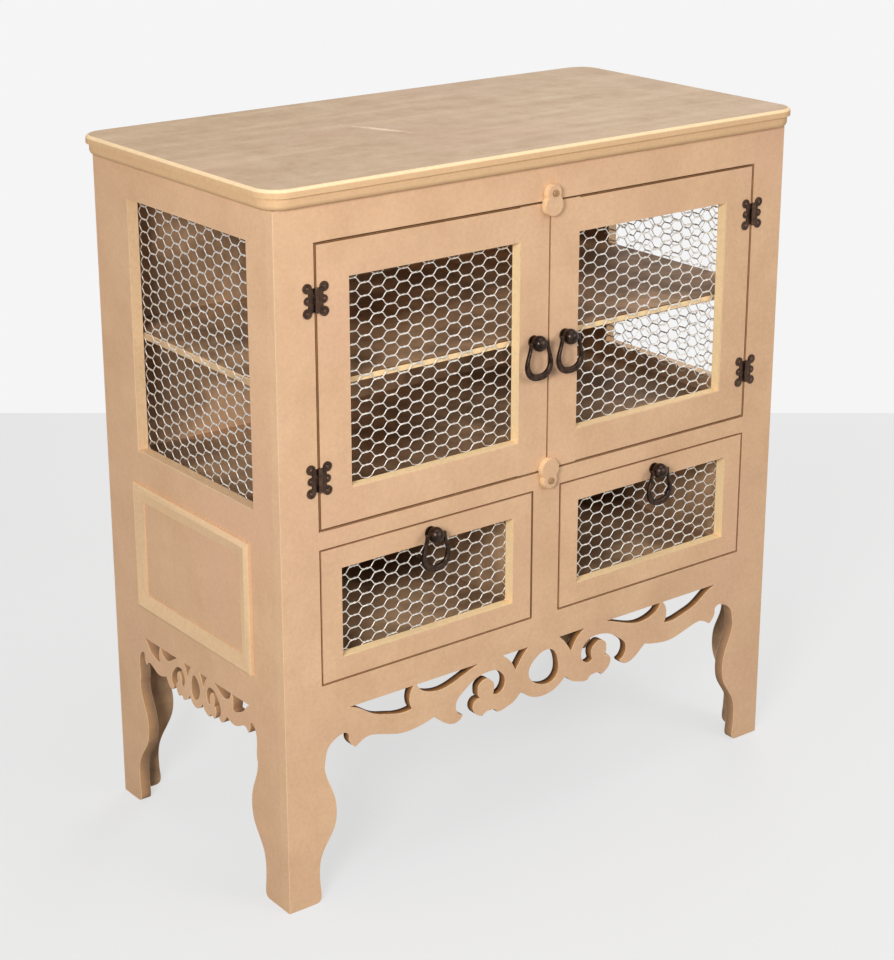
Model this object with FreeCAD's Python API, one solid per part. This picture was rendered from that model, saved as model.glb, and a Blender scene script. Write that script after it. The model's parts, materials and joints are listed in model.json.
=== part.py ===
import FreeCAD, Part
import math
import os

# Cupboard with two netted doors over two netted drawers, on sawn legs with a fretted apron.
# Millimetres. X runs to the right along the front, Y to the back, Z up, the feet stand at Z = 0.
# The origin is under the middle of the whole cupboard, from the pulls' fronts to the top's back edge.

# Driving dimensions of the carcass
carcass_w = 800.0
carcass_d = 400.0
total_h = 900.0
board_t = 15.0
apron_t = 12.0

# Top board
top_t = 25.0
top_overhang = 14.0
top_corner_r = 32.0
top_lip_t = 10.0
top_lip_round = 4.5
top_step = 4.0
top_under_round = 7.0

# Front frame: the doors take the height that the legs, drawers and rails leave
stile_w = 54.0
apron_blank_w = 73.0
drawer_opening_h = 173.0
middle_rail_h = 23.0
top_rail_h = 43.0
divider_w = 45.0
gap = 2.0

# Legs and fretwork
leg_neck_h = 181.0
leg_ankle_w = 45.5
leg_knee_w = 72.0
leg_neck_w = 55.5
side_front_leg_ankle_w = 51.0
side_front_leg_knee_w = 79.0
side_front_leg_neck_w = 63.0
side_back_leg_ankle_w = 42.0
side_back_leg_knee_w = 72.0
side_back_leg_neck_w = 56.0
foot_round = 8.0
fret_above_neck = 69.5
rail_above_fret = 39.5
front_fret_h = 76.0
side_fret_h = 52.0
back_arch_rise = 37.0
back_arch_round = 31.0

# Doors
door_stile_w = 46.0
door_rail_w = 44.0

# Drawers
drawer_frame_w = 29.0
drawer_frame_h = 27.0
drawer_side_t = 12.0
drawer_bottom_t = 6.0
drawer_bottom_up = 10.0
drawer_box_below_front = 33.0
drawer_groove = 6.0
drawer_run_clear = 0.3
drawer_side_clear = 1.0
drawer_back_clear = 0.5
drawer_guide_h = 20.0

# Side windows and the panel moulding below them
window_from_front = 56.0
window_from_back = 80.0
window_above_floor = 24.0
moulding_from_front = 66.0
moulding_from_back = 67.0
moulding_above_rail = 4.0
moulding_above_drawers = 2.0
moulding_w = 22.0
moulding_rise = 6.0
moulding_outer_lip = 3.0
moulding_slope_w = 5.0
moulding_crest_w = 2.0
moulding_inner_lip = 1.5

# Shelf
shelf_above_middle = 1.0
shelf_t = 9.0
shelf_front_back = 20.0
shelf_side_clear = 2.0
pin_r = 4.0
pin_len = 20.0
pin_in_board = 10.0
pin_fit = 0.05
pin_from_front = 22.0
pin_from_back = 30.0

# Hexagon netting
wire_t = 1.0
mesh_column = 18.6
mesh_row = 15.9
twist_len = 12.0
net_lap = 8.0

# Hinges
hinge_from_door_top = 64.0
hinge_from_door_bottom = 63.0
leaf_t = 1.5
leaf_reach = 17.5
leaf_h = 41.0
lobe_r = 6.0
tab_r = 5.0
barrel_r = 2.75
barrel_off = 2.9
barrel_h = 28.0
hinge_pin_r = 1.25
hinge_pin_fit = 0.06
knuckle_gap = 0.3
pin_head_r = 2.2
pin_head_h = 1.0

# Pulls
knob_r = 10.0
knob_reach = 22.0
knob_base_r = 8.0
knob_base_t = 2.0
knob_neck_r = 4.0
knob_screw_r = 2.0
knob_screw_len = 12.0
bail_bar_r = 2.0
bail_fit = 0.08
bail_depth = 5.0
bail_round = 1.6
bail_drop = 47.0
bail_half_w = 21.5
bail_arm_in = 10.8
bail_arm_w = 4.2
bail_foot_w = 8.0
door_pull_from_edge = 24.0

# Turn buttons
button_t = 8.0
button_pivot_r = 11.0
button_lobe_r = 14.0
button_pitch = 15.0
button_round = 1.5
button_off = 0.3
button_fit = 0.1
button_screw_r = 2.3
button_screw_len = 12.0
button_head_r = 4.2
button_head_t = 2.2
button_above_doors = 10.0

cut_over = 1.0

# Places worked out from the sizes above
half_w = carcass_w / 2
face_y = -(carcass_d + top_overhang - knob_reach) / 2
back_y = face_y + carcass_d
top_low = total_h - top_t
top_rail_low = top_low - top_rail_h
fret_top = leg_neck_h + fret_above_neck
bottom_rail_top = fret_top + rail_above_fret
middle_rail_low = bottom_rail_top + drawer_opening_h
middle_rail_top = middle_rail_low + middle_rail_h
inner_x = half_w - board_t
inner_front = face_y + board_t
inner_back = back_y - board_t
stile_x = half_w - stile_w
apron_x = half_w - apron_blank_w
divider_x = divider_w / 2
door_in = gap / 2
door_out = stile_x - gap
door_low = middle_rail_top + gap
door_top = top_rail_low - gap
drawer_in = divider_x + gap
drawer_out = stile_x - gap
drawer_low = bottom_rail_top + gap
drawer_top = middle_rail_low - gap
window_front = face_y + window_from_front
window_back = back_y - window_from_back
window_low = middle_rail_top + window_above_floor
window_top = top_rail_low
doors_middle = (door_low + door_top) / 2
shelf_top = doors_middle + shelf_above_middle
hinge_x = stile_x - gap / 2
hinge_y = face_y - barrel_off
pull_axis_y = face_y - (knob_reach - knob_r)

# Fretwork drawn on squared paper: squares from the middle to the leg's neck,
# and from the lowest leaf to the top of the piercings
fret_squares_across = 345
fret_squares_up = 71
fret_edge_shares = (
    ((0, 0), (8, 0.5), (18, 3), (28, 8), (37, 15)),
    ((37, 15), (44, 10), (50, 5.5), (58, 3), (68, 0), (77, 0)),
    ((77, 0), (83, 5), (90, 5.5), (97, 4.5), (101, 1)),
    ((101, 1), (108, 4), (114, 9), (117, 15), (116, 21), (112, 25), (105, 26)),
    ((105, 26), (108, 29), (109, 35), (108, 42), (102, 47), (95, 48.5), (88, 45), (83, 40),
     (82, 33), (84, 26)),
    ((84, 26), (77, 23.5), (69, 27), (65, 34), (65, 41), (70, 49), (78, 54.5), (92, 56.5),
     (105, 55), (117, 51), (127, 45), (136, 39), (142, 33), (144, 25), (141, 17), (133, 12)),
    ((133, 12), (139, 6), (148, 4.5), (158, 7.5), (168, 14), (178, 22)),
    ((178, 22), (190, 19), (205, 16.5), (225, 15.5), (240, 18), (255, 22), (270, 26), (280, 27),
     (290, 24), (299, 19)),
    ((299, 19), (306, 25), (309, 32), (309, 37), (313, 40.5), (318, 41)),
    ((318, 41), (325, 39), (333, 35), (340, 28), (343.5, 16), (345, 6)),
)
fret_piercing_shares = (
    (((308, 71), (290, 64), (270, 52), (250, 46), (235, 42.5), (213, 42.5)),
     ((213, 42.5), (216.5, 51), (216, 61), (210, 71)),
     ((210, 71), (308, 71))),
    (((205, 71), (198, 62), (185, 56.5), (165, 54.5), (148, 58), (130, 64), (108, 71)),
     ((108, 71), (205, 71))),
    (((70, 71), (60, 65), (52, 56), (47, 47)),
     ((47, 47), (40, 57), (33, 65), (26, 71)),
     ((26, 71), (70, 71))),
)
fret_oval_shares = (0, 37, 25, 22)

# Leg's inner edge from the neck down: height as a share of the neck's height,
# width as a share of the way from the ankle's width to the knee's
leg_edge_shares = (
    (0.88, 0.60), (0.77, 0.89), (0.64, 1.00), (0.54, 0.88), (0.47, 0.62), (0.35, 0.13),
    (0.19, 0.00), (0.07, 0.07),
)

# Bail's outline below its arms: width as a share of the way from the arm to the widest place,
# drop as a share of the whole drop; then its heel, as shares of the widest half and of the drop
bail_side_shares = ((1 / 3, 0.22), (1, 0.62))
bail_heel_shares = (0.72, 0.9)


def box(x0, x1, y0, y1, z0, z1):
    corner = FreeCAD.Vector(min(x0, x1), min(y0, y1), min(z0, z1))
    return Part.makeBox(abs(x1 - x0), abs(y1 - y0), abs(z1 - z0), corner)


def along_front(u, w):
    return FreeCAD.Vector(u, 0, w)


def along_side(u, w):
    return FreeCAD.Vector(0, u, w)


def stroke_edge(points):
    if len(points) == 2:
        return Part.LineSegment(points[0], points[1]).toShape()
    curve = Part.BSplineCurve()
    curve.interpolate(points)
    return curve.toShape()


def face_from_strokes(strokes):
    wire = Part.Wire(Part.__sortEdges__([stroke_edge(points) for points in strokes]))
    return Part.Face(wire)


def save(shape, node):
    shape.exportStep(os.path.join("parts", node + ".step"))


# Legs and fretwork in a plane: u runs across, w runs up

def leg_edge(outer, inward, ankle_w, knee_w, neck_w):
    """Points of a leg's sawn inner edge, from the neck down to the foot's round."""
    points = [(outer + inward * neck_w, leg_neck_h)]
    for up_share, wide_share in leg_edge_shares:
        wide = ankle_w + wide_share * (knee_w - ankle_w)
        points.append((outer + inward * wide, up_share * leg_neck_h))
    return points


def leg_strokes(outer, inward, ankle_w, knee_w, neck_w):
    """Inner edge, rounded toe and sole of one leg, ending at the outer lower corner."""
    edge = leg_edge(outer, inward, ankle_w, knee_w, neck_w)
    toe_u = edge[-1][0]
    turn = math.sqrt(0.5)
    round_mid = (toe_u - inward * foot_round * (1 - turn), foot_round * (1 - turn))
    heel = (toe_u - inward * foot_round, 0)
    return [edge, [edge[-1], (toe_u, foot_round)], [(toe_u, foot_round), round_mid, heel],
            [heel, (outer, 0)]]


def fret_point(middle, half_span, low, height, side, share):
    across = side * share[0] / fret_squares_across * half_span
    return (middle + across, low + share[1] / fret_squares_up * height)


def fret_strokes(middle, half_span, height, side):
    """Lower edge of one half of the apron, from its middle out to the leg's neck."""
    low = fret_top - height
    strokes = []
    for stroke in fret_edge_shares:
        strokes.append([fret_point(middle, half_span, low, height, side, share) for share in stroke])
    strokes[-1][-1] = (middle + side * half_span, leg_neck_h)
    return strokes


def fret_piercings(middle, half_span, height, place, thickness):
    """The leaf piercings of both halves and the oval in the middle, as cutters."""
    low = fret_top - height
    cutters = []
    for side in (-1, 1):
        for outline in fret_piercing_shares:
            strokes = []
            for stroke in outline:
                points = [fret_point(middle, half_span, low, height, side, share) for share in stroke]
                strokes.append([place(*point) for point in points])
            cutters.append(face_from_strokes(strokes).extrude(thickness))
    centre = fret_point(middle, half_span, low, height, 1, fret_oval_shares[:2])
    reach_u = fret_oval_shares[2] / fret_squares_across * half_span
    reach_w = fret_oval_shares[3] / fret_squares_up * height
    quarter = math.pi / 2
    oval = [(centre[0] + reach_u * math.cos(turn * quarter), centre[1] + reach_w * math.sin(turn * quarter))
            for turn in range(4)]
    curve = Part.BSplineCurve()
    curve.interpolate([place(*point) for point in oval], PeriodicFlag=True)
    cutters.append(Part.Face(Part.Wire(curve.toShape())).extrude(thickness))
    return cutters


def legs_and_fret(low_u, high_u, legs, fret_h, head_w, place, thickness):
    """A board's lower part: a leg at each end, the fretted arch between, cut off at head_w."""
    left, right = legs
    neck_low = low_u + left[2]
    neck_high = high_u - right[2]
    middle = (neck_low + neck_high) / 2
    half_span = (neck_high - neck_low) / 2
    strokes = fret_strokes(middle, half_span, fret_h, -1) + fret_strokes(middle, half_span, fret_h, 1)
    strokes += leg_strokes(low_u, 1, *left) + leg_strokes(high_u, -1, *right)
    strokes += [[(low_u, 0), (low_u, head_w)], [(low_u, head_w), (high_u, head_w)],
                [(high_u, head_w), (high_u, 0)]]
    placed = [[place(*point) for point in stroke] for stroke in strokes if stroke[0] != stroke[-1]]
    board = face_from_strokes(placed).extrude(thickness)
    return board.cut(fret_piercings(middle, half_span, fret_h, place, thickness))


# Carcass

def top_board():
    reach_x = half_w + top_overhang
    low_y = face_y - top_overhang
    high_y = back_y + top_overhang
    lip = box(-reach_x, reach_x, low_y, high_y, total_h - top_lip_t, total_h)
    lip = lip.makeFillet(top_corner_r, upright_edges(lip))
    lip = lip.makeFillet(top_lip_round, edges_at(lip, total_h))
    under = box(-reach_x + top_step, reach_x - top_step, low_y + top_step, high_y - top_step,
                top_low, total_h - top_lip_t)
    under = under.makeFillet(top_corner_r - top_step, upright_edges(under))
    under = under.makeFillet(top_under_round, edges_at(under, top_low))
    return lip.fuse(under).removeSplitter()


def upright_edges(shape):
    return [edge for edge in shape.Edges if len(edge.Vertexes) == 2
            and abs(edge.tangentAt(edge.FirstParameter).z) > 1 - 1 / total_h]


def edges_at(shape, height):
    box_h = shape.BoundBox.ZLength
    return [edge for edge in shape.Edges
            if abs(edge.BoundBox.ZMin - height) + abs(edge.BoundBox.ZMax - height) < box_h / total_h]


def front_frame():
    """The front frame: two leg boards, the rails and divider between them, and the fretted apron."""
    leg = (leg_ankle_w, leg_knee_w, leg_neck_w)
    whole = legs_and_fret(-half_w, half_w, (leg, leg), front_fret_h, top_low, along_front,
                          FreeCAD.Vector(0, board_t, 0))
    whole.translate(FreeCAD.Vector(0, face_y, 0))
    pieces = {}
    for side, name in ((-1, "front_leg_left"), (1, "front_leg_right")):
        stile = box(side * stile_x, side * half_w, face_y, inner_front, 0, top_low)
        blank = box(side * apron_x, side * half_w, face_y, inner_front, 0, bottom_rail_top)
        pieces[name] = whole.common(blank.fuse(stile).removeSplitter())
    pieces["front_apron"] = whole.common(box(-apron_x, apron_x, face_y, face_y + apron_t, 0, bottom_rail_top))
    pieces["front_top_rail"] = box(-stile_x, stile_x, face_y, inner_front, top_rail_low, top_low)
    pieces["front_middle_rail"] = box(-stile_x, stile_x, face_y, inner_front, middle_rail_low,
                                      middle_rail_top)
    pieces["drawer_divider"] = box(-divider_x, divider_x, face_y, inner_front, bottom_rail_top,
                                   middle_rail_low)
    for name, height in button_heights().items():
        rail = "front_top_rail" if name == "turn_button_top" else "front_middle_rail"
        hole = Part.makeCylinder(button_screw_r, button_screw_len, FreeCAD.Vector(0, face_y, height),
                                 FreeCAD.Vector(0, 1, 0))
        pieces[rail] = pieces[rail].cut(hole)
    return pieces


def side_board(side):
    front_leg = (side_front_leg_ankle_w - board_t, side_front_leg_knee_w - board_t,
                 side_front_leg_neck_w - board_t)
    back_leg = (side_back_leg_ankle_w, side_back_leg_knee_w, side_back_leg_neck_w)
    lower = legs_and_fret(inner_front, back_y, (front_leg, back_leg), side_fret_h, bottom_rail_top,
                          along_side, FreeCAD.Vector(board_t, 0, 0))
    lower.translate(FreeCAD.Vector(-half_w if side < 0 else inner_x, 0, 0))
    upper = box(side * inner_x, side * half_w, inner_front, back_y, bottom_rail_top, top_low)
    board = lower.fuse(upper).removeSplitter()
    window = box(side * (inner_x - cut_over), side * (half_w + cut_over), window_front, window_back,
                 window_low, window_top)
    board = board.cut(window)
    for pin_y in shelf_pin_places():
        bore = Part.makeCylinder(pin_r + pin_fit, pin_in_board, pin_root(side, pin_y),
                                 FreeCAD.Vector(side, 0, 0))
        board = board.cut(bore)
    return board


def back_board():
    neck = half_w - leg_neck_w
    arch_top = leg_neck_h + back_arch_rise
    board = box(-inner_x, inner_x, inner_back, back_y, leg_neck_h, top_low)
    arch = box(-neck, neck, inner_back - cut_over, back_y + cut_over, leg_neck_h - cut_over, arch_top)
    ends = [edge for edge in arch.Edges if abs(edge.tangentAt(edge.FirstParameter).y) > 1 - 1 / total_h
            and edge.BoundBox.ZMin > leg_neck_h]
    arch = arch.makeFillet(back_arch_round, ends)
    board = board.cut(arch)
    for side in (-1, 1):
        outer = side * inner_x
        strokes = leg_strokes(outer, -side, leg_ankle_w - board_t, leg_knee_w - board_t,
                              leg_neck_w - board_t)
        strokes += [[strokes[0][0], (outer, leg_neck_h)], [(outer, leg_neck_h), (outer, 0)]]
        placed = [[along_front(*point) for point in stroke] for stroke in strokes]
        leg = face_from_strokes(placed).extrude(FreeCAD.Vector(0, board_t, 0))
        leg.translate(FreeCAD.Vector(0, inner_back, 0))
        board = board.fuse(leg)
    return board.removeSplitter()


def panel_moulding(side):
    """A mitred moulding planted on the side: a steep outer slope, a narrow crest, a long fall to a thin lip."""
    low_y = face_y + moulding_from_front
    high_y = back_y - moulding_from_back
    low_z = bottom_rail_top + moulding_above_rail
    high_z = middle_rail_low + moulding_above_drawers

    def rectangle(inset, rise):
        corners = [(low_y + inset, low_z + inset), (high_y - inset, low_z + inset),
                   (high_y - inset, high_z - inset), (low_y + inset, high_z - inset)]
        return Part.makePolygon([FreeCAD.Vector(rise, y, z) for y, z in corners + corners[:1]])

    def block(*steps):
        return Part.makeLoft([rectangle(inset, rise) for inset, rise in steps], True, True)

    crest_in = moulding_slope_w + moulding_crest_w
    fall_run = moulding_w - crest_in
    fall = moulding_rise - moulding_inner_lip
    outer = block((0, 0), (0, moulding_outer_lip)).fuse(
        block((0, moulding_outer_lip), (moulding_slope_w, moulding_rise)))
    well = block((moulding_w, -cut_over), (moulding_w, moulding_inner_lip))
    funnel = block((moulding_w, moulding_inner_lip), (crest_in - cut_over * fall_run / fall, moulding_rise + cut_over))
    frame = outer.cut(well.fuse(funnel)).removeSplitter()
    if side < 0:
        frame = frame.mirror(FreeCAD.Vector(0, 0, 0), FreeCAD.Vector(1, 0, 0))
    frame.translate(FreeCAD.Vector(side * half_w, 0, 0))
    return frame


def shelf_pin_places():
    return (inner_front + pin_from_front, inner_back - pin_from_back)


def pin_root(side, pin_y):
    return FreeCAD.Vector(side * inner_x, pin_y, shelf_top - shelf_t - pin_r - pin_fit)


def shelf_pins():
    pins = []
    for side in (-1, 1):
        for pin_y in shelf_pin_places():
            start = pin_root(side, pin_y) + FreeCAD.Vector(side * pin_in_board, 0, 0)
            pins.append(Part.makeCylinder(pin_r, pin_len, start, FreeCAD.Vector(-side, 0, 0)))
    return Part.makeCompound(pins)


def inside_boards():
    shelf_x = inner_x - shelf_side_clear
    pieces = {
        "shelf": box(-shelf_x, shelf_x, face_y + shelf_front_back, inner_back, shelf_top - shelf_t,
                     shelf_top),
        "cupboard_floor": box(-inner_x, inner_x, inner_front, inner_back, middle_rail_top - board_t,
                              middle_rail_top),
        "bottom_board": box(-inner_x, inner_x, inner_front, inner_back, bottom_rail_top - board_t,
                            bottom_rail_top),
        "drawer_guide_centre": box(-drawer_in, drawer_in, inner_front, inner_back, bottom_rail_top,
                                   bottom_rail_top + drawer_guide_h),
    }
    for side, name in ((-1, "drawer_guide_left"), (1, "drawer_guide_right")):
        pieces[name] = box(side * drawer_out, side * inner_x, inner_front, inner_back, bottom_rail_top,
                           bottom_rail_top + drawer_guide_h)
    return pieces


# Netting

def hexagon_net(low_u, high_u, low_w, high_w, place, thickness):
    """A flat net lapped round a window: hexagons with level twists, cut off at the window's edge."""
    middle_u = (low_u + high_u) / 2
    middle_w = (low_w + high_w) / 2
    half_u = (high_u - low_u) / 2
    half_v = (high_w - low_w) / 2
    columns = math.ceil(2 * half_u / mesh_column - 1 / 2)
    slant = mesh_column - twist_len
    hole_twist = (twist_len - wire_t / 2) / 2
    hole_half = hole_twist + slant - wire_t / 2
    hole_up = (mesh_row - wire_t) / 2
    outer = [place(low_u - net_lap, low_w - net_lap), place(high_u + net_lap, low_w - net_lap),
             place(high_u + net_lap, high_w + net_lap), place(low_u - net_lap, high_w + net_lap)]
    wires = [Part.makePolygon(outer + outer[:1])]
    for column in range(columns):
        centre_u = middle_u + (column - (columns - 1) / 2) * mesh_column
        rows = int(2 * half_v / mesh_row)
        rows += column % 2
        for row in range(rows):
            centre_w = middle_w + (row - (rows - 1) / 2) * mesh_row
            corners = [(-hole_half, 0), (-hole_twist, -hole_up), (hole_twist, -hole_up), (hole_half, 0),
                       (hole_twist, hole_up), (-hole_twist, hole_up)]
            corners = [(centre_u + u, centre_w + w) for u, w in corners]
            corners = clip_polygon(corners, low_u, high_u, low_w, high_w)
            if len(corners) > 2:
                points = [place(*corner) for corner in corners]
                wires.append(Part.makePolygon(points + points[:1]))
    face = Part.Face(wires[0])
    holes = [Part.Face(wire) for wire in wires[1:]]
    return face.cut(Part.makeCompound(holes)).extrude(thickness)


def clip_polygon(corners, low_u, high_u, low_w, high_w):
    """The part of a convex polygon that lies inside an upright rectangle."""
    for axis, limit, keep_sign in ((0, low_u, 1), (0, high_u, -1), (1, low_w, 1), (1, high_w, -1)):
        kept = []
        for index, corner in enumerate(corners):
            before = corners[index - 1]
            inside = keep_sign * (corner[axis] - limit)
            was_inside = keep_sign * (before[axis] - limit)
            if inside * was_inside < 0:
                share = was_inside / (was_inside - inside)
                kept.append(tuple(b + (c - b) * share for b, c in zip(before, corner)))
            if inside >= 0:
                kept.append(corner)
        corners = kept
    return corners


def side_net(side):
    net = hexagon_net(window_front, window_back, window_low, window_top, along_side,
                      FreeCAD.Vector(-side * wire_t, 0, 0))
    net.translate(FreeCAD.Vector(side * inner_x, 0, 0))
    return net


def front_net(low_x, high_x, low_z, high_z):
    net = hexagon_net(low_x, high_x, low_z, high_z, along_front, FreeCAD.Vector(0, wire_t, 0))
    net.translate(FreeCAD.Vector(0, inner_front, 0))
    return net


# Hinges

def hinge_heights():
    return (door_low + hinge_from_door_bottom, door_top - hinge_from_door_top)


def hinge_leaf(side, outward, height, knuckles):
    """One leaf on the front faces: three lobes, and knuckles round the pin."""
    centre_x = side * hinge_x

    def along(u):
        return centre_x + outward * u

    plate_in = barrel_r + knuckle_gap
    plate_out = leaf_reach - lobe_r - lobe_r / 4
    shape = box(along(plate_in), along(plate_out), face_y - leaf_t, face_y, height - barrel_h / 2,
                height + barrel_h / 2)
    lobe_up = leaf_h / 2 - lobe_r
    forward = FreeCAD.Vector(0, -1, 0)
    extras = []
    for up in (-lobe_up, lobe_up):
        centre = FreeCAD.Vector(along(leaf_reach - lobe_r), face_y, height + up)
        extras.append(Part.makeCylinder(lobe_r, leaf_t, centre, forward))
    tab = FreeCAD.Vector(along(leaf_reach - tab_r - leaf_t), face_y, height)
    extras.append(Part.makeCylinder(tab_r, leaf_t, tab, forward))
    for low, high in knuckles:
        extras.append(box(along(0), along(plate_in), face_y - leaf_t, face_y, height + low, height + high))
        base = FreeCAD.Vector(centre_x, hinge_y, height + low)
        extras.append(Part.makeCylinder(barrel_r, high - low, base))
    shape = shape.fuse(extras)
    bore_base = FreeCAD.Vector(centre_x, hinge_y, height - barrel_h)
    bore = Part.makeCylinder(hinge_pin_r + hinge_pin_fit, 2 * barrel_h, bore_base)
    return shape.cut(bore).removeSplitter()


def hinge_knuckles():
    """Heights of the frame leaf's two knuckles and of the door leaf's one between them."""
    third = barrel_h / 4
    frame = ((-barrel_h / 2, -third), (third, barrel_h / 2))
    door = ((-third + knuckle_gap, third - knuckle_gap),)
    return frame, door


def hinge_pin(side, height):
    base = FreeCAD.Vector(side * hinge_x, hinge_y, height - barrel_h / 2)
    pin = Part.makeCylinder(hinge_pin_r, barrel_h, base)
    heads = []
    for head_base in (base - FreeCAD.Vector(0, 0, pin_head_h), base + FreeCAD.Vector(0, 0, barrel_h)):
        heads.append(Part.makeCylinder(pin_head_r, pin_head_h, head_base))
    return pin.fuse(heads).removeSplitter()


# Pulls

def pull_knob(x, z):
    """A round knob on a rosette, cross-bored for the bail, with its own screw behind."""
    ball_y = knob_reach - knob_r
    back = Part.makeCylinder(knob_screw_r, knob_screw_len)
    back.translate(FreeCAD.Vector(0, 0, -knob_screw_len))
    base = Part.makeCylinder(knob_base_r, knob_base_t)
    neck = Part.makeCylinder(knob_neck_r, ball_y)
    ball = Part.makeSphere(knob_r, FreeCAD.Vector(0, 0, ball_y))
    knob = ball.fuse([back, base, neck])
    bore = Part.makeCylinder(bail_bar_r + bail_fit, 2 * knob_reach, FreeCAD.Vector(-knob_reach, 0, ball_y),
                             FreeCAD.Vector(1, 0, 0))
    knob = knob.cut(bore).removeSplitter()
    knob.rotate(FreeCAD.Vector(0, 0, 0), FreeCAD.Vector(1, 0, 0), 90)
    knob.translate(FreeCAD.Vector(x, face_y, z))
    return knob


def pull_bail(x, z):
    """A pear-shaped bail, thin at its arms and heavy at its foot, on a bar through the knob."""
    def pear(arm, wide, foot, head):
        half = [(arm, head)]
        half += [(arm + (wide - arm) * wide_share, -foot * foot_share)
                 for wide_share, foot_share in bail_side_shares]
        half += [(wide * bail_heel_shares[0], -foot * bail_heel_shares[1]), (0, -foot)]
        other = [(-u, w) for u, w in half[:-1]]
        points = [along_front(*point) for point in half + other[::-1]]
        return [points, [points[-1], points[0]]]
    outer = face_from_strokes(pear(bail_arm_in + bail_arm_w, bail_half_w, bail_drop, bail_bar_r))
    inner = face_from_strokes(pear(bail_arm_in, bail_half_w - bail_arm_w - bail_round,
                                   bail_drop - bail_foot_w, bail_bar_r))
    ring = outer.cut(inner).extrude(FreeCAD.Vector(0, bail_depth, 0))
    ring.translate(FreeCAD.Vector(0, -bail_depth / 2, 0))
    ring = ring.makeFillet(bail_round, long_edges(ring))
    bar_half = bail_arm_in + bail_arm_w / 2
    bar = Part.makeCylinder(bail_bar_r, 2 * bar_half, FreeCAD.Vector(-bar_half, 0, 0),
                            FreeCAD.Vector(1, 0, 0))
    bail = ring.fuse(bar).removeSplitter()
    bail.translate(FreeCAD.Vector(x, pull_axis_y, z))
    return bail


def long_edges(ring):
    return [edge for edge in ring.Edges if edge.Length > bail_drop]


def screw_hole(x, z):
    return Part.makeCylinder(knob_screw_r, knob_screw_len, FreeCAD.Vector(x, face_y, z),
                             FreeCAD.Vector(0, 1, 0))


# Turn buttons

def button_heights():
    return {"turn_button_top": top_rail_low + button_above_doors,
            "turn_button_bottom": (middle_rail_low + middle_rail_top) / 2}


def turn_button(height, toward):
    """A wooden button with a small round pivot end and a larger end that holds the doors."""
    back = face_y - button_off
    forward = FreeCAD.Vector(0, -1, 0)
    pivot = Part.makeCylinder(button_pivot_r, button_t, FreeCAD.Vector(0, back, height), forward)
    lobe_at = FreeCAD.Vector(0, back, height + toward * button_pitch)
    button = pivot.fuse(Part.makeCylinder(button_lobe_r, button_t, lobe_at, forward)).removeSplitter()
    front_edges = [edge for edge in button.Edges if edge.BoundBox.YMax < back - button_t / 2]
    button = button.makeFillet(button_round, front_edges)
    hole = Part.makeCylinder(button_screw_r + button_fit, 2 * button_t,
                             FreeCAD.Vector(0, back + button_t / 2, height), forward)
    return button.cut(hole)


def button_screw(height):
    inward = FreeCAD.Vector(0, 1, 0)
    head_back = face_y - button_off - button_t - button_off
    shank = Part.makeCylinder(button_screw_r, button_screw_len + face_y - head_back,
                              FreeCAD.Vector(0, head_back, height), inward)
    head = Part.makeCylinder(button_head_r, button_head_t,
                             FreeCAD.Vector(0, head_back - button_head_t, height), inward)
    front_edges = [edge for edge in head.Edges if edge.BoundBox.YMax < head_back - button_head_t / 2]
    head = head.makeFillet(button_head_t / 2, front_edges)
    return head.fuse(shank).removeSplitter()


# Doors and drawers

def door(side, name):
    in_x = side * door_in
    out_x = side * door_out
    open_in = side * (door_in + door_stile_w)
    open_out = side * (door_out - door_stile_w)
    low = door_low + door_rail_w
    high = door_top - door_rail_w
    pull_x = side * (door_in + door_pull_from_edge)
    meeting = box(in_x, open_in, face_y, inner_front, door_low, door_top).cut(screw_hole(pull_x, doors_middle))
    leaves = [hinge_leaf(side, -side, height, hinge_knuckles()[1]) for height in hinge_heights()]
    return {
        name + "_hinge_stile": box(open_out, out_x, face_y, inner_front, door_low, door_top),
        name + "_meeting_stile": meeting,
        name + "_top_rail": box(open_in, open_out, face_y, inner_front, high, door_top),
        name + "_bottom_rail": box(open_in, open_out, face_y, inner_front, door_low, low),
        name + "_net": front_net(min(open_in, open_out), max(open_in, open_out), low, high),
        name + "_hinge_leaves": Part.makeCompound(leaves),
        name + "_pull_knob": pull_knob(pull_x, doors_middle),
        name + "_pull_bail": pull_bail(pull_x, doors_middle),
    }


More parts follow.
